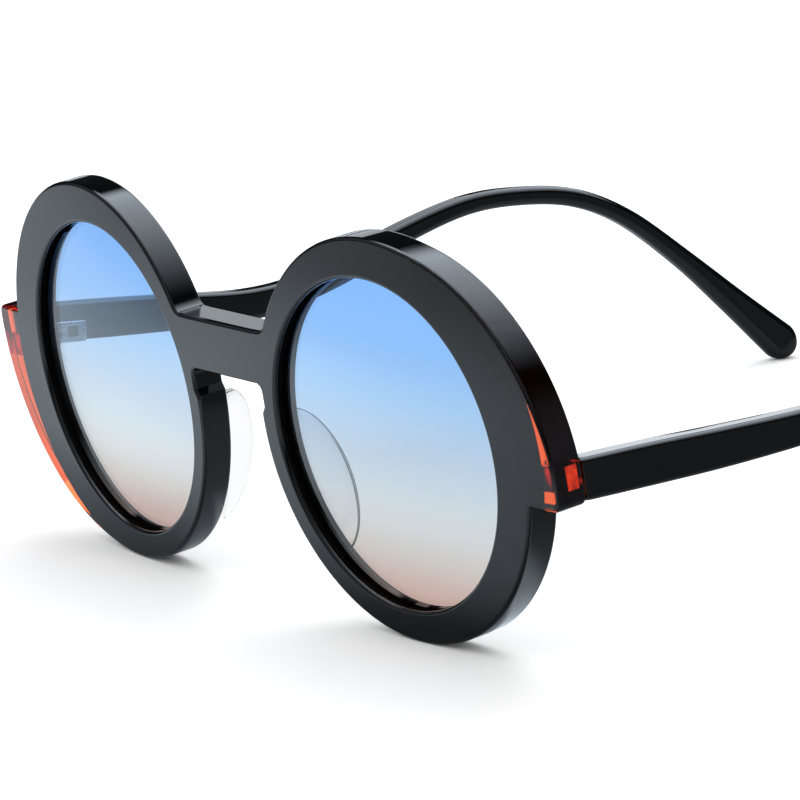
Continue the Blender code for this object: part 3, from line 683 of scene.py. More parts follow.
def loft_tree():
    """The group: a grid wrapped round the rail."""
    tree = bpy.data.node_groups.new("loft along a rail", "GeometryNodeTree")
    add_socket(tree, "Rail", "NodeSocketGeometry")
    add_socket(tree, "Steps Round", "NodeSocketInt", value=32)
    add_socket(tree, "Finish", "NodeSocketMaterial")
    add_socket(tree, "Body", "NodeSocketGeometry", "OUTPUT")
    net = Net(tree)
    given = net.node("NodeGroupInput")
    rail, steps = net.out(given, "Rail"), net.out(given, "Steps Round")
    size = net.node("GeometryNodeAttributeDomainSize", {"component": "MESH"}, {"Geometry": rail})
    count = net.out(size, "Point Count")
    grid = net.get(
        "GeometryNodeMeshGrid",
        values={"Size X": count - 1, "Size Y": steps, "Vertices X": count, "Vertices Y": steps + 1},
        key="Mesh",
    )
    grid_x, grid_y, _ = net.split(net.get("GeometryNodeInputPosition"))
    row = (grid_x + (count - 1) / 2).sum("ROUND")
    angle = (grid_y + steps / 2 + 0.5) * math.tau / steps

    def sample(value, kind):
        settings = {"data_type": kind, "domain": "POINT"}
        return net.get("GeometryNodeSampleIndex", settings, {"Geometry": rail, "Value": value, "Index": row})

    def attribute(name, kind):
        return sample(net.get("GeometryNodeInputNamedAttribute", {"data_type": kind}, {"Name": name}), kind)

    def scaled(vector, factor):
        return net.get("ShaderNodeVectorMath", {"operation": "SCALE"}, {"Vector": vector, "Scale": factor})

    def added(one, other):
        return net.get("ShaderNodeVectorMath", {"operation": "ADD"}, {0: one, 1: other})

    wide, tall, corner = (attribute(name, "FLOAT") for name in ("wide", "tall", "corner"))
    cosine, sine = angle.sum("COSINE"), angle.sum("SINE")
    sideways = cosine.sum("SIGN") * (wide - corner) + cosine * corner
    upwards = sine.sum("SIGN") * (tall - corner) + sine * corner
    middle = sample(net.get("GeometryNodeInputPosition"), "FLOAT_VECTOR")
    across, up = (attribute(name, "FLOAT_VECTOR") for name in ("across", "up"))
    outline_point = added(middle, added(scaled(across, sideways), scaled(up, upwards)))
    wrapped = net.get("GeometryNodeSetPosition", values={"Geometry": grid, "Position": outline_point})
    closed = net.get("GeometryNodeMergeByDistance", values={"Geometry": wrapped, "Distance": MERGE_DISTANCE})
    end_tree(net, closed, net.out(given, "Finish"), "Body")
    return tree


LOFT = loft_tree()


def set_input(modifier, name, value):
    """Set a Geometry Nodes input by its identifier."""
    for item in modifier.node_group.interface.items_tree:
        if item.item_type == "SOCKET" and item.in_out == "INPUT" and item.name == name:
            modifier[item.identifier] = value


def loft(name, rows, steps, material):
    """Make a lofted body, with its faces outwards."""
    item = add_object(name, rail_mesh(name, rows))
    modifier = item.modifiers.new("loft", "NODES")
    modifier.node_group = LOFT
    set_input(modifier, "Steps Round", steps)
    set_input(modifier, "Finish", MATERIALS[material])
    applied(item)
    body = bmesh.new()
    body.from_mesh(item.data)
    bmesh.ops.recalc_face_normals(body, faces=body.faces)
    body.to_mesh(item.data)
    body.free()
    return item


def turned(name, profile, centre, along, steps, material):
    """A loft whose section is a circle: profile is (distance along, radius)."""
    along = Vector(along).normalized()
    across = along.orthogonal().normalized()
    up = along.cross(across)
    rows = [(Vector(centre) + along * d, across, up, r, r, r) for d, r in profile]
    return loft(name, rows, steps, material)


print("loft group nodes:", len(LOFT.nodes))

# %% [markdown]
# ## Parting the wings from the rims
#
# The core that parts them is itself a turned shape: straight at the two faces, so that the seam is
# a clean line, and a tenth of a millimetre thinner in between.

# %% Cut the front and the wings
BOND_DEPTH, BOND_SLOPE = 0.0001, 0.0002
CUT_MARGIN, CORE_MARGIN = 0.001, 0.004
ROUND_STEPS = 240
ORIGIN, BACKWARDS = (0.0, 0.0, 0.0), (0.0, 1.0, 0.0)


def core_profile(*walls):
    """The profile of a rim's core: past both faces of the front, with what its wall does between."""
    start, end = -CORE_MARGIN, FRONT_THICKNESS + CORE_MARGIN
    return [(start, 0.0), (start, RIM_RADIUS), *walls, (end, RIM_RADIUS), (end, 0.0)]


def wing_space(name, side, profile):
    """A block round the wing, less the rim's core. A wing points up on the right and down on the left."""
    inner, outer = RIM_RADIUS * math.cos(WING_TIP_ANGLE), WING_SHIFT.x + WING_RADIUS + CUT_MARGIN
    spread = sorted((side * inner, side * outer))
    levels = sorted((-side * WING_END_DROP, side * RIM_RADIUS))
    low, high = -2 * CUT_MARGIN, FRONT_THICKNESS + 2 * CUT_MARGIN
    region = box(name, (spread[0], low, levels[0]), (spread[1], high, levels[1]))
    core = turned(name + " core", profile, ORIGIN, BACKWARDS, ROUND_STEPS, "bonded black")
    boolean(region, core, "DIFFERENCE")
    region.data.transform(Matrix.Translation((side * HALF_SPACING, 0.0, 0.0)))
    return region


bonded = core_profile(
    (0.0, RIM_RADIUS),
    (BOND_SLOPE, RIM_RADIUS - BOND_DEPTH),
    (FRONT_THICKNESS - BOND_SLOPE, RIM_RADIUS - BOND_DEPTH),
    (FRONT_THICKNESS, RIM_RADIUS),
)
frame_piece = add_object("front", blank.data.copy())
wings = {}
for name, side in SIDES.items():
    boolean(frame_piece, wing_space(name + " waste", side, core_profile()), "DIFFERENCE")
    wings[name] = add_object(name + " wing", blank.data.copy())
    boolean(wings[name], wing_space(name + " space", side, bonded), "INTERSECT")
    join_flat(wings[name])
bpy.data.objects.remove(blank, do_unlink=True)
print("front faces:", len(frame_piece.data.polygons))


# %% Lean the rims back
def lean_back(item):
    """Shear a piece so that its rims lean back from the flat bridge."""
    body = bmesh.new()
    body.from_mesh(item.data)
    for side in SIDES.values():
        whole = body.verts[:] + body.edges[:] + body.faces[:]
        bmesh.ops.bisect_plane(body, geom=whole, plane_co=(side * INNER_EDGE, 0, 0), plane_no=(1, 0, 0))
    for vertex in body.verts:
        vertex.co.y += front_setback(vertex.co.x)
    body.to_mesh(item.data)
    body.free()


for item in (frame_piece, *wings.values()):
    lean_back(item)
print("rims lean back by", round(math.degrees(math.atan(FORM_SLOPE)), 2), "degrees")

# %% Route the lens grooves
LENS_SETBACK, LENS_THICKNESS, LENS_RADIUS = 0.0015, 0.0019, APERTURE_RADIUS + 0.0007
LENS_PLAY, LENS_FLAT = 0.0001, 0.0002


def rim_matrix(side):
    """From a rim's own frame to the front's frame."""
    place = Matrix.Translation((side * HALF_SPACING, 0.0, 0.0))
    return place @ Matrix.Rotation(side * math.atan(FORM_SLOPE), 4, "Z")


def lens_matrix(side):
    """From a lens's own frame to the front's frame."""
    return rim_matrix(side) @ Matrix.Translation((-side * APERTURE_INSET, 0.0, -APERTURE_DROP))


front_edge, rear_edge = LENS_SETBACK - LENS_PLAY, LENS_SETBACK + LENS_THICKNESS + LENS_PLAY
middle = (front_edge + rear_edge) / 2
groove = [
    (front_edge, 0.0),
    (front_edge, APERTURE_RADIUS),
    (middle - LENS_FLAT, LENS_RADIUS + LENS_PLAY),
    (middle + LENS_FLAT, LENS_RADIUS + LENS_PLAY),
    (rear_edge, APERTURE_RADIUS),
    (rear_edge, 0.0),
]
for name, side in SIDES.items():
    cutter = turned(name + " groove", groove, ORIGIN, BACKWARDS, ROUND_STEPS, "bonded black")
    cutter.data.transform(lens_matrix(side))
    boolean(frame_piece, cutter, "DIFFERENCE")
print("grooves reach", round((LENS_RADIUS + LENS_PLAY) * 1000, 2), "mm from the lens centres")

# %% Mark the faces that no polish reaches
NEAR = 0.00003
UNPOLISHED_MARGIN = 0.0002
WALL_Y_COSINE = 0.2


def on_bond(point, side):
    """Whether a point of the front lies on the wall that a wing is bonded to."""
    x, z = point.x - side * HALF_SPACING, point.z
    outward = x * side > RIM_RADIUS * math.cos(WING_TIP_ANGLE) and side * z > -WING_END_DROP
    return outward and abs(math.hypot(x, z) - RIM_RADIUS) < NEAR


def by_the_lens(point, side):
    """Whether a point of the front lies in a lens groove or on the wall before it."""
    depth = point.y - front_setback(point.x)
    reach = math.hypot(point.x - side * (HALF_SPACING - APERTURE_INSET), point.z + APERTURE_DROP)
    rear = LENS_SETBACK + LENS_THICKNESS + UNPOLISHED_MARGIN
    groove = LENS_SETBACK - UNPOLISHED_MARGIN < depth < rear and reach > APERTURE_RADIUS + NEAR
    wall = EDGE_ROUND < depth < LENS_SETBACK
    return reach < LENS_RADIUS + UNPOLISHED_MARGIN and (groove or wall)


def two_finishes(item, first, second, wanted):
    """Give an object two materials, the second on the faces that a test holds for."""
    item.data.materials.clear()
    for name in (first, second):
        item.data.materials.append(MATERIALS[name])
    for face in item.data.polygons:
        face.material_index = int(wanted(face))


def unpolished(face):
    """Whether a face of the front is bonded to a wing or is by a lens."""
    bond = any(on_bond(face.center, side) and abs(face.normal.y) < WALL_Y_COSINE for side in SIDES.values())
    return bond or any(by_the_lens(face.center, side) for side in SIDES.values())


two_finishes(frame_piece, "black acetate", "bonded black", unpolished)
print("unpolished faces:", sum(face.material_index for face in frame_piece.data.polygons))

# %% Hand over the front and the wings
WIDE_FACE, BOW_RADIUS = 8e-6, HALF_SPACING / FORM_SLOPE
smooth(frame_piece, wide=WIDE_FACE, bow=BOW_RADIUS)
hand_over(frame_piece, "front", None, "black_acetate", "front", "front_frame")
for name, item in wings.items():
    smooth(item, wide=WIDE_FACE, bow=BOW_RADIUS)
    hand_over(item, name + "_wing", "orange-red acetate", "orange_red_acetate", "front", name + "_crescent")

# %% [markdown]
# ## Lenses
#
# Each lens is a shallow slice of a hollow ball, ground to a V at its rim so that it snaps into the
# groove. It is a turned shape, so the same loft makes it, with the rail along its axis. The ground
# rim is dull and dark in its groove, or it would mirror the room through the lens.

# %% Lenses
LENS_CURVE = 0.230
LENS_RINGS, LENS_STEPS = 20, 160


def lens_profile():
    """Distance along the axis and radius, from the middle of the front round the rim to the back."""
    edge_sag = LENS_CURVE - math.sqrt(LENS_CURVE**2 - APERTURE_RADIUS**2)
    radii = [APERTURE_RADIUS * k / LENS_RINGS for k in range(LENS_RINGS + 1)]
    sags = [LENS_CURVE - math.sqrt(LENS_CURVE**2 - r**2) - edge_sag for r in radii]
    face = [(LENS_SETBACK + s, r) for s, r in zip(sags, radii)]
    back = [(LENS_SETBACK + LENS_THICKNESS + s, r) for s, r in zip(sags, radii)]
    middle = LENS_SETBACK + LENS_THICKNESS / 2
    return face + [(middle - LENS_FLAT, LENS_RADIUS), (middle + LENS_FLAT, LENS_RADIUS)] + back[::-1]


def in_the_groove(face):
    """Whether a face of a lens, still in the lens's own frame, is part of its ground rim."""
    return math.hypot(face.center.x, face.center.z) > APERTURE_RADIUS + NEAR


for name, side in SIDES.items():
    lens = turned(name + " lens", lens_profile(), ORIGIN, BACKWARDS, LENS_STEPS, "gradient lens")
    two_finishes(lens, "gradient lens", "bonded black", in_the_groove)
    lens.data.transform(lens_matrix(side))
    smooth(lens, 25.0)
    hand_over(lens, name + "_tinted_lens", None, "gradient_lens", "front", name + "_lens")

# %% [markdown]
# ## Nose pads
#
# Clear pads are moulded as thin half eggs and glued behind the rims. A ball squeezed to three
# sizes and cut by the rim's back face is that shape. Its foot reaches a hair into the rim, as glue
# leaves no air there.

# %% Nose pads
PAD_ANGLE, PAD_RING = math.radians(22.6), RIM_RADIUS - 0.0026
PAD_SLOPE, PAD_SPLAY = math.radians(20.0), math.radians(16.0)
PAD_SHAPE = Matrix.Diagonal((0.0018, 0.0059, 0.0115, 1.0))
GLUE_DEPTH = 0.00005


def pad_mesh(name, side):
    """A squeezed ball behind a rim, cut where it meets the rim's back face."""
    body = bmesh.new()
    bmesh.ops.create_uvsphere(body, u_segments=96, v_segments=64, radius=1.0)
    centre = (-side * PAD_RING * math.cos(PAD_ANGLE), FRONT_THICKNESS, -PAD_RING * math.sin(PAD_ANGLE))
    slope = Matrix.Rotation(-side * PAD_SLOPE, 4, "Y") @ Matrix.Rotation(-side * PAD_SPLAY, 4, "Z")
    body.transform(Matrix.Translation(centre) @ slope @ PAD_SHAPE)
    whole = body.verts[:] + body.edges[:] + body.faces[:]
    seat = (0, FRONT_THICKNESS - GLUE_DEPTH, 0)
    cut = bmesh.ops.bisect_plane(body, geom=whole, plane_co=seat, plane_no=(0, -1, 0), clear_outer=True)
    rim = [edge for edge in cut["geom_cut"] if isinstance(edge, bmesh.types.BMEdge)]
    bmesh.ops.contextual_create(body, geom=rim)
    bmesh.ops.recalc_face_normals(body, faces=body.faces)
    body.transform(rim_matrix(side))
    mesh = bpy.data.meshes.new(name)
    body.to_mesh(mesh)
    body.free()
    return mesh


for name, side in SIDES.items():
    pad = smooth(add_object(name + " pad", pad_mesh(name + " pad", side)), 40.0)
    hand_over(pad, name + "_clear_pad", name + " clear acetate", "clear_acetate", "front", name + "_nose_pad")

# %% [markdown]
# ## Temples
#
# A temple is routed from 4 mm sheet and rounded by hand. Its middle line falls gently from the
# hinge, rises to the ear, and then bends down to a thicker, rounded tip. The stations give that line
# as shares of its reach and drop, with its height at each. The loft carries a rounded section along.

# %% Temples
TEMPLE_END_GAP, TIP_CLEARANCE = 0.0003, 0.00006
TEMPLE_END = front_setback(TEMPLE_OUTER) + FRONT_THICKNESS + TEMPLE_END_GAP
TEMPLE_HEIGHT, TEMPLE_REACH, TIP_RADIUS = 0.0062, 0.1383, 0.0033
TEMPLE_LEAN = math.radians(4.5)
TIP_DROP = RIM_RADIUS + (TEMPLE_END + TEMPLE_REACH) * math.tan(TEMPLE_LEAN) - TIP_RADIUS - TIP_CLEARANCE
TEMPLE_OFFSET, TEMPLE_ROUND, TIP_ROUND = 0.0020, 0.0009, 0.0019
BEND_START_SHARE, BEND_INWARD = 0.5556, 0.0100
BEND_START = TEMPLE_REACH * BEND_START_SHARE
CORNER_LIMIT_SHARE = 0.94
TIP_STEPS, TIP_FULLNESS = 12, 0.55
STATION_STEPS, SECTION_STEPS = 7, 40

# Each station is (share of the reach, share of the drop, share of the height, share of the offset).
STATIONS = (
    (0.000, 0.011, 0.990, 1.00),
    (0.094, 0.062, 0.990, 0.66),
    (0.180, 0.109, 0.940, 0.36),
    (0.276, 0.155, 0.840, 0.00),
    (0.351, 0.163, 0.760, 0.00),
    (0.427, 0.129, 0.690, 0.00),
    (0.503, 0.062, 0.600, 0.00),
    (0.603, 0.019, 0.535, 0.00),
    (0.684, 0.046, 0.510, 0.00),
    (0.760, 0.122, 0.515, 0.00),
    (0.825, 0.272, 0.500, 0.00),
    (0.891, 0.519, 0.570, 0.00),
    (0.951, 0.781, 0.800, 0.00),
    (1.000, 1.000, 1.065, 0.00),
)

# Each step of the rounded hinge end is (distance along, how far in from the full section, corner radius).
END_STEPS = ((0.0, 0.0003, 0.0005), (0.0001, 0.0001, 0.0007))
END_ROUNDED = 0.0004


def between(rows, steps):
    """Rows with smooth values between them, by a Catmull-Rom spline."""
    result = []
    for k in range(len(rows) - 1):
        before, after = rows[max(k - 1, 0)], rows[min(k + 2, len(rows) - 1)]
        for step in range(steps):
            t = step / steps
            row = []
            for a, b, c, d in zip(before, rows[k], rows[k + 1], after):
                bend, twist = 2 * a - 5 * b + 4 * c - d, 3 * b - a - 3 * c + d
                row.append((2 * b + (c - a) * t + bend * t**2 + twist * t**3) / 2)
            result.append(row)
    return [*result, list(rows[-1])]


def temple_line(hand):
    """The middle line: (y, z, height)."""
    line = []
    for back, down, tall, kept in between(STATIONS, STATION_STEPS):
        level = -down * TIP_DROP - hand * kept * TEMPLE_OFFSET
        line.append((TEMPLE_END + back * TEMPLE_REACH, level, tall * TEMPLE_HEIGHT))
    return line


def temple_rows(side):
    """Rail rows from the flat hinge end to the rounded tip."""
    line = temple_line(side)
    rows = []
    half_thick = TEMPLE_THICKNESS / 2
    for k, (y, z, height) in enumerate(line):
        before, after = line[max(k - 1, 0)], line[min(k + 1, len(line) - 1)]
        along = Vector((0.0, after[0] - before[0], after[1] - before[1])).normalized()
        up = Vector((0.0, -along.z, along.y)) if k else Vector((0.0, 0.0, 1.0))
        corner = TEMPLE_ROUND + (TIP_ROUND - TEMPLE_ROUND) * k / (len(line) - 1)
        corner = min(corner, height / 2 * CORNER_LIMIT_SHARE)
        rows.append([Vector((0.0, y, z)), up, half_thick, height / 2, corner])
    first = rows[0]
    start = [[first[0], first[1], 0.0, 0.0, 0.0]]
    for reach, inset, corner in END_STEPS:
        place = first[0] + Vector((0, reach, 0))
        start.append([place, first[1], half_thick - inset, first[3] - inset, corner])
    first[0] = first[0] + Vector((0, END_ROUNDED, 0))
    last_place, last_up, _, last_tall, _ = rows[-1]
    heading = Vector((0.0, last_up.z, -last_up.y))
    tip = []
    for k in range(1, TIP_STEPS + 1):
        angle = math.pi / 2 * k / TIP_STEPS
        shrink = math.cos(angle)
        thick = half_thick * min(1.0, shrink**TIP_FULLNESS)
        tall = last_tall * shrink
        place = last_place + heading * TIP_RADIUS * math.sin(angle)
        tip.append([place, last_up, thick, tall, min(thick, tall, TIP_ROUND)])
    rows = start + rows + tip
    result = []
    for place, up, wide, tall, corner in rows:
        past = max(0.0, place.y - TEMPLE_END - BEND_START) / (TEMPLE_REACH - BEND_START)
        x = side * (TEMPLE_OUTER - half_thick - BEND_INWARD * past**2)
        result.append((Vector((x, place.y, place.z)), Vector((1, 0, 0)), up, wide, tall, corner))
    return result


temples = {}
for name, side in SIDES.items():
    temples[name] = loft(name + " temple", temple_rows(side), SECTION_STEPS, "black acetate")
    print(name, "temple faces:", len(temples[name].data.polygons))

# %% [markdown]
# ## Hinges
#
# Five barrels take turns on one pin: three belong to the front, two to the temple. A barrel is a
# short ring, and the ring is turned once and then placed by Geometry Nodes at equal steps up the
# pin. The front's anchor is sunk in the acetate; the temple's plate has a square window.

# %% Barrels by Geometry Nodes
HINGE_HEIGHT, BARREL_GAP, BARREL_COUNT = 0.0034, 0.0001, 5
BARREL_HEIGHT = (HINGE_HEIGHT - BARREL_GAP * (BARREL_COUNT - 1)) / BARREL_COUNT
BARREL_PITCH = BARREL_HEIGHT + BARREL_GAP
BARREL_SOFT, SOFT_SHARE = 0.0001, 0.3
PIN_RADIUS, PIN_PLAY = 0.0006, 0.00002
PIN_STEPS, UPWARDS = 48, (0.0, 0.0, 1.0)
BLOCK_SOFT, BLOCK_SOFT_STEPS = 0.00015, 2


def stack_tree():
    """The group: one barrel placed at equal steps up its pin."""
    tree = bpy.data.node_groups.new("barrels on a pin", "GeometryNodeTree")
    add_socket(tree, "Barrel", "NodeSocketGeometry")
    add_socket(tree, "Barrels", "NodeSocketInt", value=3)
    add_socket(tree, "First", "NodeSocketFloat", value=0.0)
    add_socket(tree, "Step", "NodeSocketFloat", value=0.001)
    add_socket(tree, "Finish", "NodeSocketMaterial")
    add_socket(tree, "Stack", "NodeSocketGeometry", "OUTPUT")
    net = Net(tree)
    given = net.node("NodeGroupInput")
    start, step = (net.vector(z=net.out(given, key)) for key in ("First", "Step"))
    places = net.get(
        "GeometryNodeMeshLine",
        {"mode": "OFFSET"},
        {"Count": net.out(given, "Barrels"), "Start Location": start, "Offset": step},
    )
    barrel = net.out(given, "Barrel")
    stack = net.get("GeometryNodeInstanceOnPoints", values={"Points": places, "Instance": barrel})
    end_tree(net, stack, net.out(given, "Finish"), "Stack")
    return tree


STACK = stack_tree()


def barrels(name, count, first, place):
    """A stack of rings with softened rims, on a vertical pin at a place."""
    soft, softer = BARREL_SOFT, BARREL_SOFT * SOFT_SHARE
    bore = PIN_RADIUS + PIN_PLAY
    ring = [
        (0.0, bore),
        (0.0, BARREL_RADIUS - soft),
        (softer, BARREL_RADIUS - softer),
        (soft, BARREL_RADIUS),
        (BARREL_HEIGHT - soft, BARREL_RADIUS),
        (BARREL_HEIGHT - softer, BARREL_RADIUS - softer),
        (BARREL_HEIGHT, BARREL_RADIUS - soft),
        (BARREL_HEIGHT, bore),
        (0.0, bore),
    ]
    item = turned(name, ring, ORIGIN, UPWARDS, PIN_STEPS, "hinge metal")
    modifier = item.modifiers.new("stack", "NODES")
    modifier.node_group = STACK
    set_input(modifier, "Barrels", count)
    set_input(modifier, "First", place[2] - HINGE_HEIGHT / 2 + first * BARREL_PITCH)
    set_input(modifier, "Step", 2 * BARREL_PITCH)
    set_input(modifier, "Finish", MATERIALS["hinge metal"])
    applied(item)
    item.data.transform(Matrix.Translation((place[0], place[1], 0.0)))
    return item


def softened(item, width, steps):
    """Round an object's edges."""
    modifier = item.modifiers.new("soft", "BEVEL")
    modifier.width = width
    modifier.segments = steps
    modifier.limit_method = "ANGLE"
    return applied(item)


def soft_box(name, low, high, soft=BLOCK_SOFT):
    """A box with softened edges."""
    return softened(box(name, low, high), soft, BLOCK_SOFT_STEPS)


def merge(name, items):
    """Several meshes as one object."""
    body = bmesh.new()
    for item in items:
        body.from_mesh(item.data)
        bpy.data.objects.remove(item, do_unlink=True)
    mesh = bpy.data.meshes.new(name)
    body.to_mesh(mesh)
    body.free()
    return add_object(name, mesh)


print("barrel:", round(BARREL_HEIGHT, 5), "high, one every", round(BARREL_PITCH, 5))

# %% Where a hinge sits
LEAF_GAP = 0.00015
LEAF_START = PIVOT_BACK + BARREL_RADIUS + LEAF_GAP
LEAF_LENGTH, LEAF_THICKNESS, LEAF_SINK = 0.0054, 0.0012, 0.0005
HINGE_DROP, HINGE_OFFSET, TILT_STEPS = 0.0012, 0.0008, 3
BACK_AT_HINGE = front_setback(PIVOT_REACH) + FRONT_THICKNESS


def hinge_level(hand):
    """The height of a hinge's middle."""
    return -HINGE_DROP - hand * HINGE_OFFSET


def barrel_level(hand, count):
    """The height of the bottom of a hinge's barrel, counted from 0."""
    return hinge_level(hand) - HINGE_HEIGHT / 2 + count * BARREL_PITCH


def leaf_tilt(hand):
    """The turn that makes a temple's plate follow its temple."""
    line = between(STATIONS, TILT_STEPS)[:2]
    run = (line[1][0] - line[0][0]) * TEMPLE_REACH
    rise = -(line[1][1] - line[0][1]) * TIP_DROP - hand * (line[1][3] - line[0][3]) * TEMPLE_OFFSET
    corner = Matrix.Translation((0.0, LEAF_START, hinge_level(hand)))
    return corner @ Matrix.Rotation(math.atan(rise / run), 4, "X") @ corner.inverted()


print("hinge levels:", [round(hinge_level(side), 4) for side in SIDES.values()])

# %% The front's leaves
ANCHOR_OVERHANG, ANCHOR_END_INSET = 0.0008, 0.0006
ANCHOR_DEPTH, ANCHOR_SINK = 0.0021, 0.00015
ANCHOR_HALF_HEIGHT, ANCHOR_LIFT = 0.0018, 0.0005
NECK_HALF_WIDTH, NECK_ROOT, NECK_GAP, NECK_SOFT = 0.00075, 0.0012, 0.0001, 0.00005


def neck(low, high_x, high_y):
    """A block as tall as a barrel, which joins the barrel to its leaf."""
    return soft_box("neck", low, (high_x, high_y, low[2] + BARREL_HEIGHT), NECK_SOFT)


def front_leaf(name, side):
    """The front's leaf: an anchor sunk in the acetate, with three necks and barrels."""
    x, z = side * PIVOT_REACH, hinge_level(side)
    spread = sorted((side * (PIVOT_REACH - ANCHOR_OVERHANG), side * (TEMPLE_OUTER - ANCHOR_END_INSET)))
    lift = z + side * ANCHOR_LIFT
    low = (spread[0], BACK_AT_HINGE - ANCHOR_DEPTH, lift - ANCHOR_HALF_HEIGHT)
    high = (spread[1], BACK_AT_HINGE - ANCHOR_SINK, lift + ANCHOR_HALF_HEIGHT)
    pieces = [soft_box("anchor", low, high)]
    # All of the anchor takes the buried metal, painted red as the light through the acetate round it.
    two_finishes(pieces[0], "hinge metal", "buried metal with painted red light", lambda face: True)
    for k in (0, 2, 4):
        low = (x - NECK_HALF_WIDTH, BACK_AT_HINGE - NECK_ROOT, barrel_level(side, k))
        pieces.append(neck(low, x + NECK_HALF_WIDTH, PIVOT_BACK - PIN_RADIUS - NECK_GAP))
    pieces.append(barrels("front barrels", 3, 0, (x, PIVOT_BACK, z)))
    leaf = smooth(merge(name + " front leaf", pieces))
    for finish in ("hinge metal", "buried metal with painted red light"):
        leaf.data.materials.append(MATERIALS[finish])
    hand_over(leaf, name + "_front_leaf", None, "hinge_steel", "front", name + "_front_hinge")


# %% The temples' leaves
LEAF_WINDOW, WINDOW_PLACE_SHARE, LEAF_NECK_SHARE = 0.0018, 0.55, 0.25
LEAF_CORNER, LEAF_CORNER_STEPS = 0.00035, 4


def temple_leaf(name, side):
    """The temple's leaf: a plate with a square window, with two necks and barrels."""
    x, z = side * PIVOT_REACH, hinge_level(side)
    outer_face = TEMPLE_INNER + LEAF_SINK
    spread = sorted((side * (outer_face - LEAF_THICKNESS), side * outer_face))
    low, high = z - HINGE_HEIGHT / 2, z + HINGE_HEIGHT / 2
    plate = box("plate", (spread[0], LEAF_START, low), (spread[1], LEAF_START + LEAF_LENGTH, high))
    middle = LEAF_START + LEAF_LENGTH * WINDOW_PLACE_SHARE
    half = LEAF_WINDOW / 2
    low = (spread[0] - CUT_MARGIN, middle - half, z - half)
    boolean(plate, box("window", low, (spread[1] + CUT_MARGIN, middle + half, z + half)), "DIFFERENCE")
    softened(plate, LEAF_CORNER, LEAF_CORNER_STEPS)
    plate.data.transform(leaf_tilt(side))
    pieces = [plate]
    reach = sorted((x, side * (outer_face - LEAF_THICKNESS / 2)))
    for k in (1, 3):
        low = (reach[0], PIVOT_BACK + PIN_RADIUS + NECK_GAP, barrel_level(side, k))
        pieces.append(neck(low, reach[1], LEAF_START + LEAF_LENGTH * LEAF_NECK_SHARE))
    pieces.append(barrels("temple barrels", 2, 1, (x, PIVOT_BACK, z)))
    leaf = smooth(merge(name + " temple leaf", pieces))
    temple = name + "_temple"
    hand_over(leaf, temple + "_leaf", "hinge metal", "hinge_steel", temple, temple + "_hinge")


# %% Screws, and both hinges
# Each step of a screw's head is (height above the top barrel, radius).
HEAD_STEPS = ((0.0, 0.00095), (0.0003, 0.0010), (0.0005, 0.0009), (0.0006, 0.0007), (0.0006, 0.0))
SLOT_HALF_WIDTH, SLOT_FLOOR, SLOT_REACH = 0.00015, 0.0003, 0.002


def hinge_screw(name, side):
    """The screw that both leaves turn on, with a slot across its head."""
    x, bottom = side * PIVOT_REACH, barrel_level(side, 0)
    top = hinge_level(side) + HINGE_HEIGHT / 2 + BARREL_GAP
    shank = [(bottom, 0.0), (bottom, PIN_RADIUS), (top, PIN_RADIUS)]
    head = [(top + rise, radius) for rise, radius in HEAD_STEPS]
    screw = turned(name + " screw", shank + head, (x, PIVOT_BACK, 0.0), UPWARDS, PIN_STEPS, "hinge metal")
    low = (x - SLOT_HALF_WIDTH, PIVOT_BACK - SLOT_REACH, top + SLOT_FLOOR)
    high = (x + SLOT_HALF_WIDTH, PIVOT_BACK + SLOT_REACH, top + SLOT_REACH)
    boolean(screw, box("slot", low, high), "DIFFERENCE")
    smooth(screw)
    hand_over(screw, name + "_screw", "hinge metal", "hinge_steel", "front", name + "_hinge_screw")


for name, side in SIDES.items():
    front_leaf(name, side)
    temple_leaf(name, side)
    hinge_screw(name, side)

# %% Let the plates into the temples
POCKET_PLAY, POCKET_DEPTH = 0.00012, 0.00005
FLAT_SIDE = 60e-6
for name, side in SIDES.items():
    spread = sorted((side * (TEMPLE_INNER - CUT_MARGIN), side * (TEMPLE_INNER + LEAF_SINK + POCKET_DEPTH)))
    z = hinge_level(side)
    pocket = box(
        name + " pocket",
        (spread[0], LEAF_START - POCKET_PLAY, z - HINGE_HEIGHT / 2 - POCKET_PLAY),
        (spread[1], LEAF_START + LEAF_LENGTH + POCKET_PLAY, z + HINGE_HEIGHT / 2 + POCKET_PLAY),
    )
    pocket.data.transform(leaf_tilt(side))
    temple = name + "_temple"
    boolean(temples[name], pocket, "DIFFERENCE")
    smooth(temples[name], 40.0, wide=FLAT_SIDE)
    hand_over(temples[name], temple + "_arm", "black acetate", "black_acetate", temple, temple)
    wire = frame["nodes"][name + "_core_wire"]
    wire.data.materials.clear()
    wire.data.materials.append(MATERIALS["hinge metal"])

# %% [markdown]
# ## Studio
#
# The glasses stand on a white sheet. The eye sees plain white, by Light Path, and the floor keeps the
# shadows.
# Black gloss shows the room more than itself, so what gloss sees of the sheet is painted light and shade:
# bright to the left of the glasses, dim to the right of them, and painted shade just under them.

# %% Floor
FLOOR_REACH = 4.0
SHEET_GREY, SHEET_LIGHT, SHEET_COOL = 0.50, 0.80, 0.10
SEEN_THROUGH_LENS = 0.52
POOL_SHINE, LEFT_SHINE, FRONT_SHINE, BACK_SHINE = 0.42, 0.15, 0.42, 0.90
RIGHT_DIM, PAINTED_SHADE_UNDER = 0.30, 0.22
floor_mesh = bpy.data.meshes.new("floor")
corners = [(x * FLOOR_REACH, y * FLOOR_REACH, 0.0) for x, y in ((-1, -1), (1, -1), (1, 1), (-1, 1))]
floor_mesh.from_pydata(corners, [], [(0, 1, 2, 3)])
floor = add_object("floor", floor_mesh)
material = bpy.data.materials.new("white sheet")
material.use_nodes = True
net = Net(material.node_tree)
material.node_tree.nodes.remove(material.node_tree.nodes["Principled BSDF"])


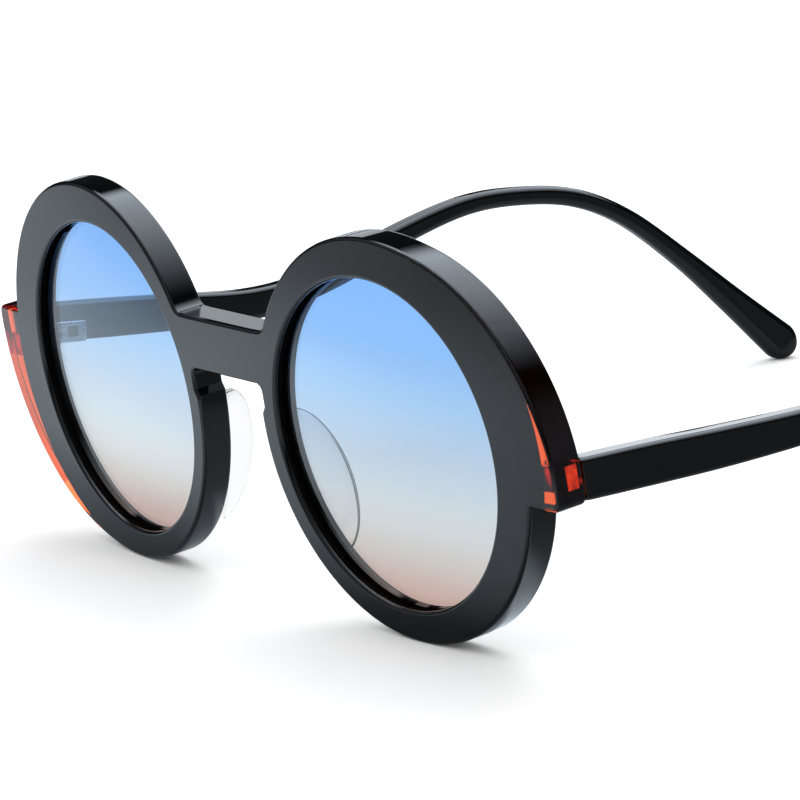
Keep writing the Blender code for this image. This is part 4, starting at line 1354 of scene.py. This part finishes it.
def edge(value, start, end):
    """A soft step from 0 to 1 in the net at hand."""
    settings = {"interpolation_type": "SMOOTHSTEP"}
    return net.get("ShaderNodeMapRange", settings, {"Value": value, "From Min": start, "From Max": end})


# Gloss sees painted reflections on the sheet: a bright or dim patch between soft edges, each from where it
# starts to where it is full, in metres from the rims' feet.
path = net.node("ShaderNodeLightPath")
eye, through = net.out(path, "Is Camera Ray"), net.out(path, "Is Transmission Ray")
gloss = net.out(path, "Is Glossy Ray") * (1 - through)
x, y, _ = net.split(net.get("ShaderNodeTexCoord", key="Object"))
y = y - foot.y
away = x * 0.75 + y * 0.66
off_x, off_y = x + 0.080, y + 0.050
pool = edge((off_x * off_x * 0.55 + off_y * off_y).sum("SQRT"), 0.085, 0.010)
left_side = edge(x, -0.060, -0.130) * edge(x, -0.230, -0.170)
before = edge(y, -0.004, -0.028) * edge(y, -0.125, -0.070)
behind = edge(y, 0.020, 0.013) * edge(y, 0.0095, 0.0115) * edge(x.sum("ABSOLUTE"), 0.008, 0.022)
shine = pool * POOL_SHINE + left_side * LEFT_SHINE + before * FRONT_SHINE + behind * BACK_SHINE
glow = net.get("ShaderNodeEmission", values={"Strength": through * SEEN_THROUGH_LENS + gloss * shine})
dim_right = edge(away, 0.040, 0.120) * RIGHT_DIM
# Painted shade on the sheet under the glasses, seen only in gloss.
painted_shade_under = edge(y, -0.014, -0.002) * edge(y, 0.008, 0.004) * PAINTED_SHADE_UNDER
level = SHEET_GREY + eye * SHEET_LIGHT - gloss * (dim_right + painted_shade_under)
cool = gloss * SHEET_COOL
net.join(net.vector(1 - cool * 1.5, 1.0, 1 + cool), glow.socket.node, "Color")
sheet_colour = net.vector(level * (1 - cool), level, level * (1 + cool))
paper = net.get("ShaderNodeBsdfDiffuse", values={"Color": sheet_colour})
both = net.get("ShaderNodeAddShader", values={0: paper, 1: glow})
net.join(both, material.node_tree.nodes["Material Output"], "Surface")
floor.data.materials.append(material)

# %% [markdown]
# The room is a world painted by direction. One large soft box hangs overhead and behind: seen from
# below, it is a rectangle in x / z and y / z, crisp on its left and fading to the right. A low white
# card stands at the left, with a dark gap between the two. The rest is nearly black.

# %% Room
OVERHEAD, LEFT_CARD, RIGHT_CARD, FRONT_FILL, ELSEWHERE = 3.8, 1.1, 0.22, 0.45, 0.02
ROOM_LIGHT, RIGHT_LOSS = 0.75, 0.2
LOWEST_RISE = 0.05
world = bpy.data.worlds.new("studio")
world.use_nodes = True
bpy.context.scene.world = world
net = Net(world.node_tree)
path = net.node("ShaderNodeLightPath")
x, y, z = net.split(net.get("ShaderNodeTexCoord", key="Generated"))
rise = z.sum("MAXIMUM", LOWEST_RISE)
over, back = x / rise, y / rise
overhead = edge(over, -1.10, -0.74) * edge(over, 1.0, -0.30) * edge(back, -0.5, -0.2) * edge(back, 1.7, 1.2)
overhead = overhead * edge(z, 0.02, 0.08)
left_card = edge(y * 0.52 - x * 0.85, 0.80, 0.93) * edge(z, 0.12, 0.02)
right_card = edge(x * 0.80 + y * 0.50, 0.75, 0.95) * edge(z, 0.75, 0.40)
front_fill = edge(y, 0.0, -0.6) * edge(z, 0.05, 0.35)
level = overhead * OVERHEAD + left_card * LEFT_CARD + right_card * RIGHT_CARD
level = level + front_fill * FRONT_FILL + ELSEWHERE
bounced = net.out(path, "Glossy Depth").sum("MINIMUM", 1.0)
from_right = 1 - edge(y * 0.52 - x * 0.82, 0.0, 0.35)
clear = net.out(path, "Is Transmission Ray") * (1 - bounced * RIGHT_LOSS * from_right)
plain = net.out(path, "Is Camera Ray").sum("MAXIMUM", clear)
gloss = net.out(path, "Is Glossy Ray")
strength = plain + (1 - plain) * (gloss * level + (1 - gloss) * ROOM_LIGHT)
background = world.node_tree.nodes["Background"]
net.join(strength, background, "Strength")
cool = gloss * (1 - plain)
net.join(net.vector(1 - cool * 0.16, 1 - cool * 0.05, 1 + cool * 0.06), background, "Color")
print("nodes that paint the room:", len(world.node_tree.nodes))

# %% Lamps
def lamp(name, place, target, size, power):
    """A square soft box aimed at a point."""
    data = bpy.data.lights.new(name, "AREA")
    data.shape = "SQUARE"
    data.size = size
    data.energy = power
    item = bpy.data.objects.new(name, data)
    bpy.context.scene.collection.objects.link(item)
    item.location = place
    item.rotation_euler = (Vector(target) - Vector(place)).to_track_quat("-Z", "Y").to_euler()
    return item


# The key and the fill give light and shadow and aren't mirrored in the gloss.
MIDDLE = (0.0, 0.0, 0.02)
for name, place, size, power in (
    ("key", (-0.35, 0.35, 0.95), 0.7, 3.0),
    ("fill", (-0.7, -0.9, 0.7), 0.8, 2.0),
):
    lamp(name, place, MIDDLE, size, power).visible_glossy = False

# Two upright cards far back on the left light the tops of the bridge, the right rim and the temple.
CARD_AIM = Vector((0.266, -0.1535, 0.0))
CARD_TALL, CARD_COLOUR = 0.070, (0.90, 0.97, 1.03)
for name, place, wide, power in (
    ("top card", (-0.225, 0.1361, 0.130), 0.160, 0.038),
    ("temple card", (-0.202, 0.1665, 0.130), 0.110, 0.028),
):
    card = lamp(name, place, Vector(place) + CARD_AIM, wide, power)
    card.data.shape = "RECTANGLE"
    card.data.size_y = CARD_TALL
    card.data.color = CARD_COLOUR
    card.visible_camera = False
    card.visible_transmission = False
bpy.context.scene.view_settings.view_transform = "Standard"
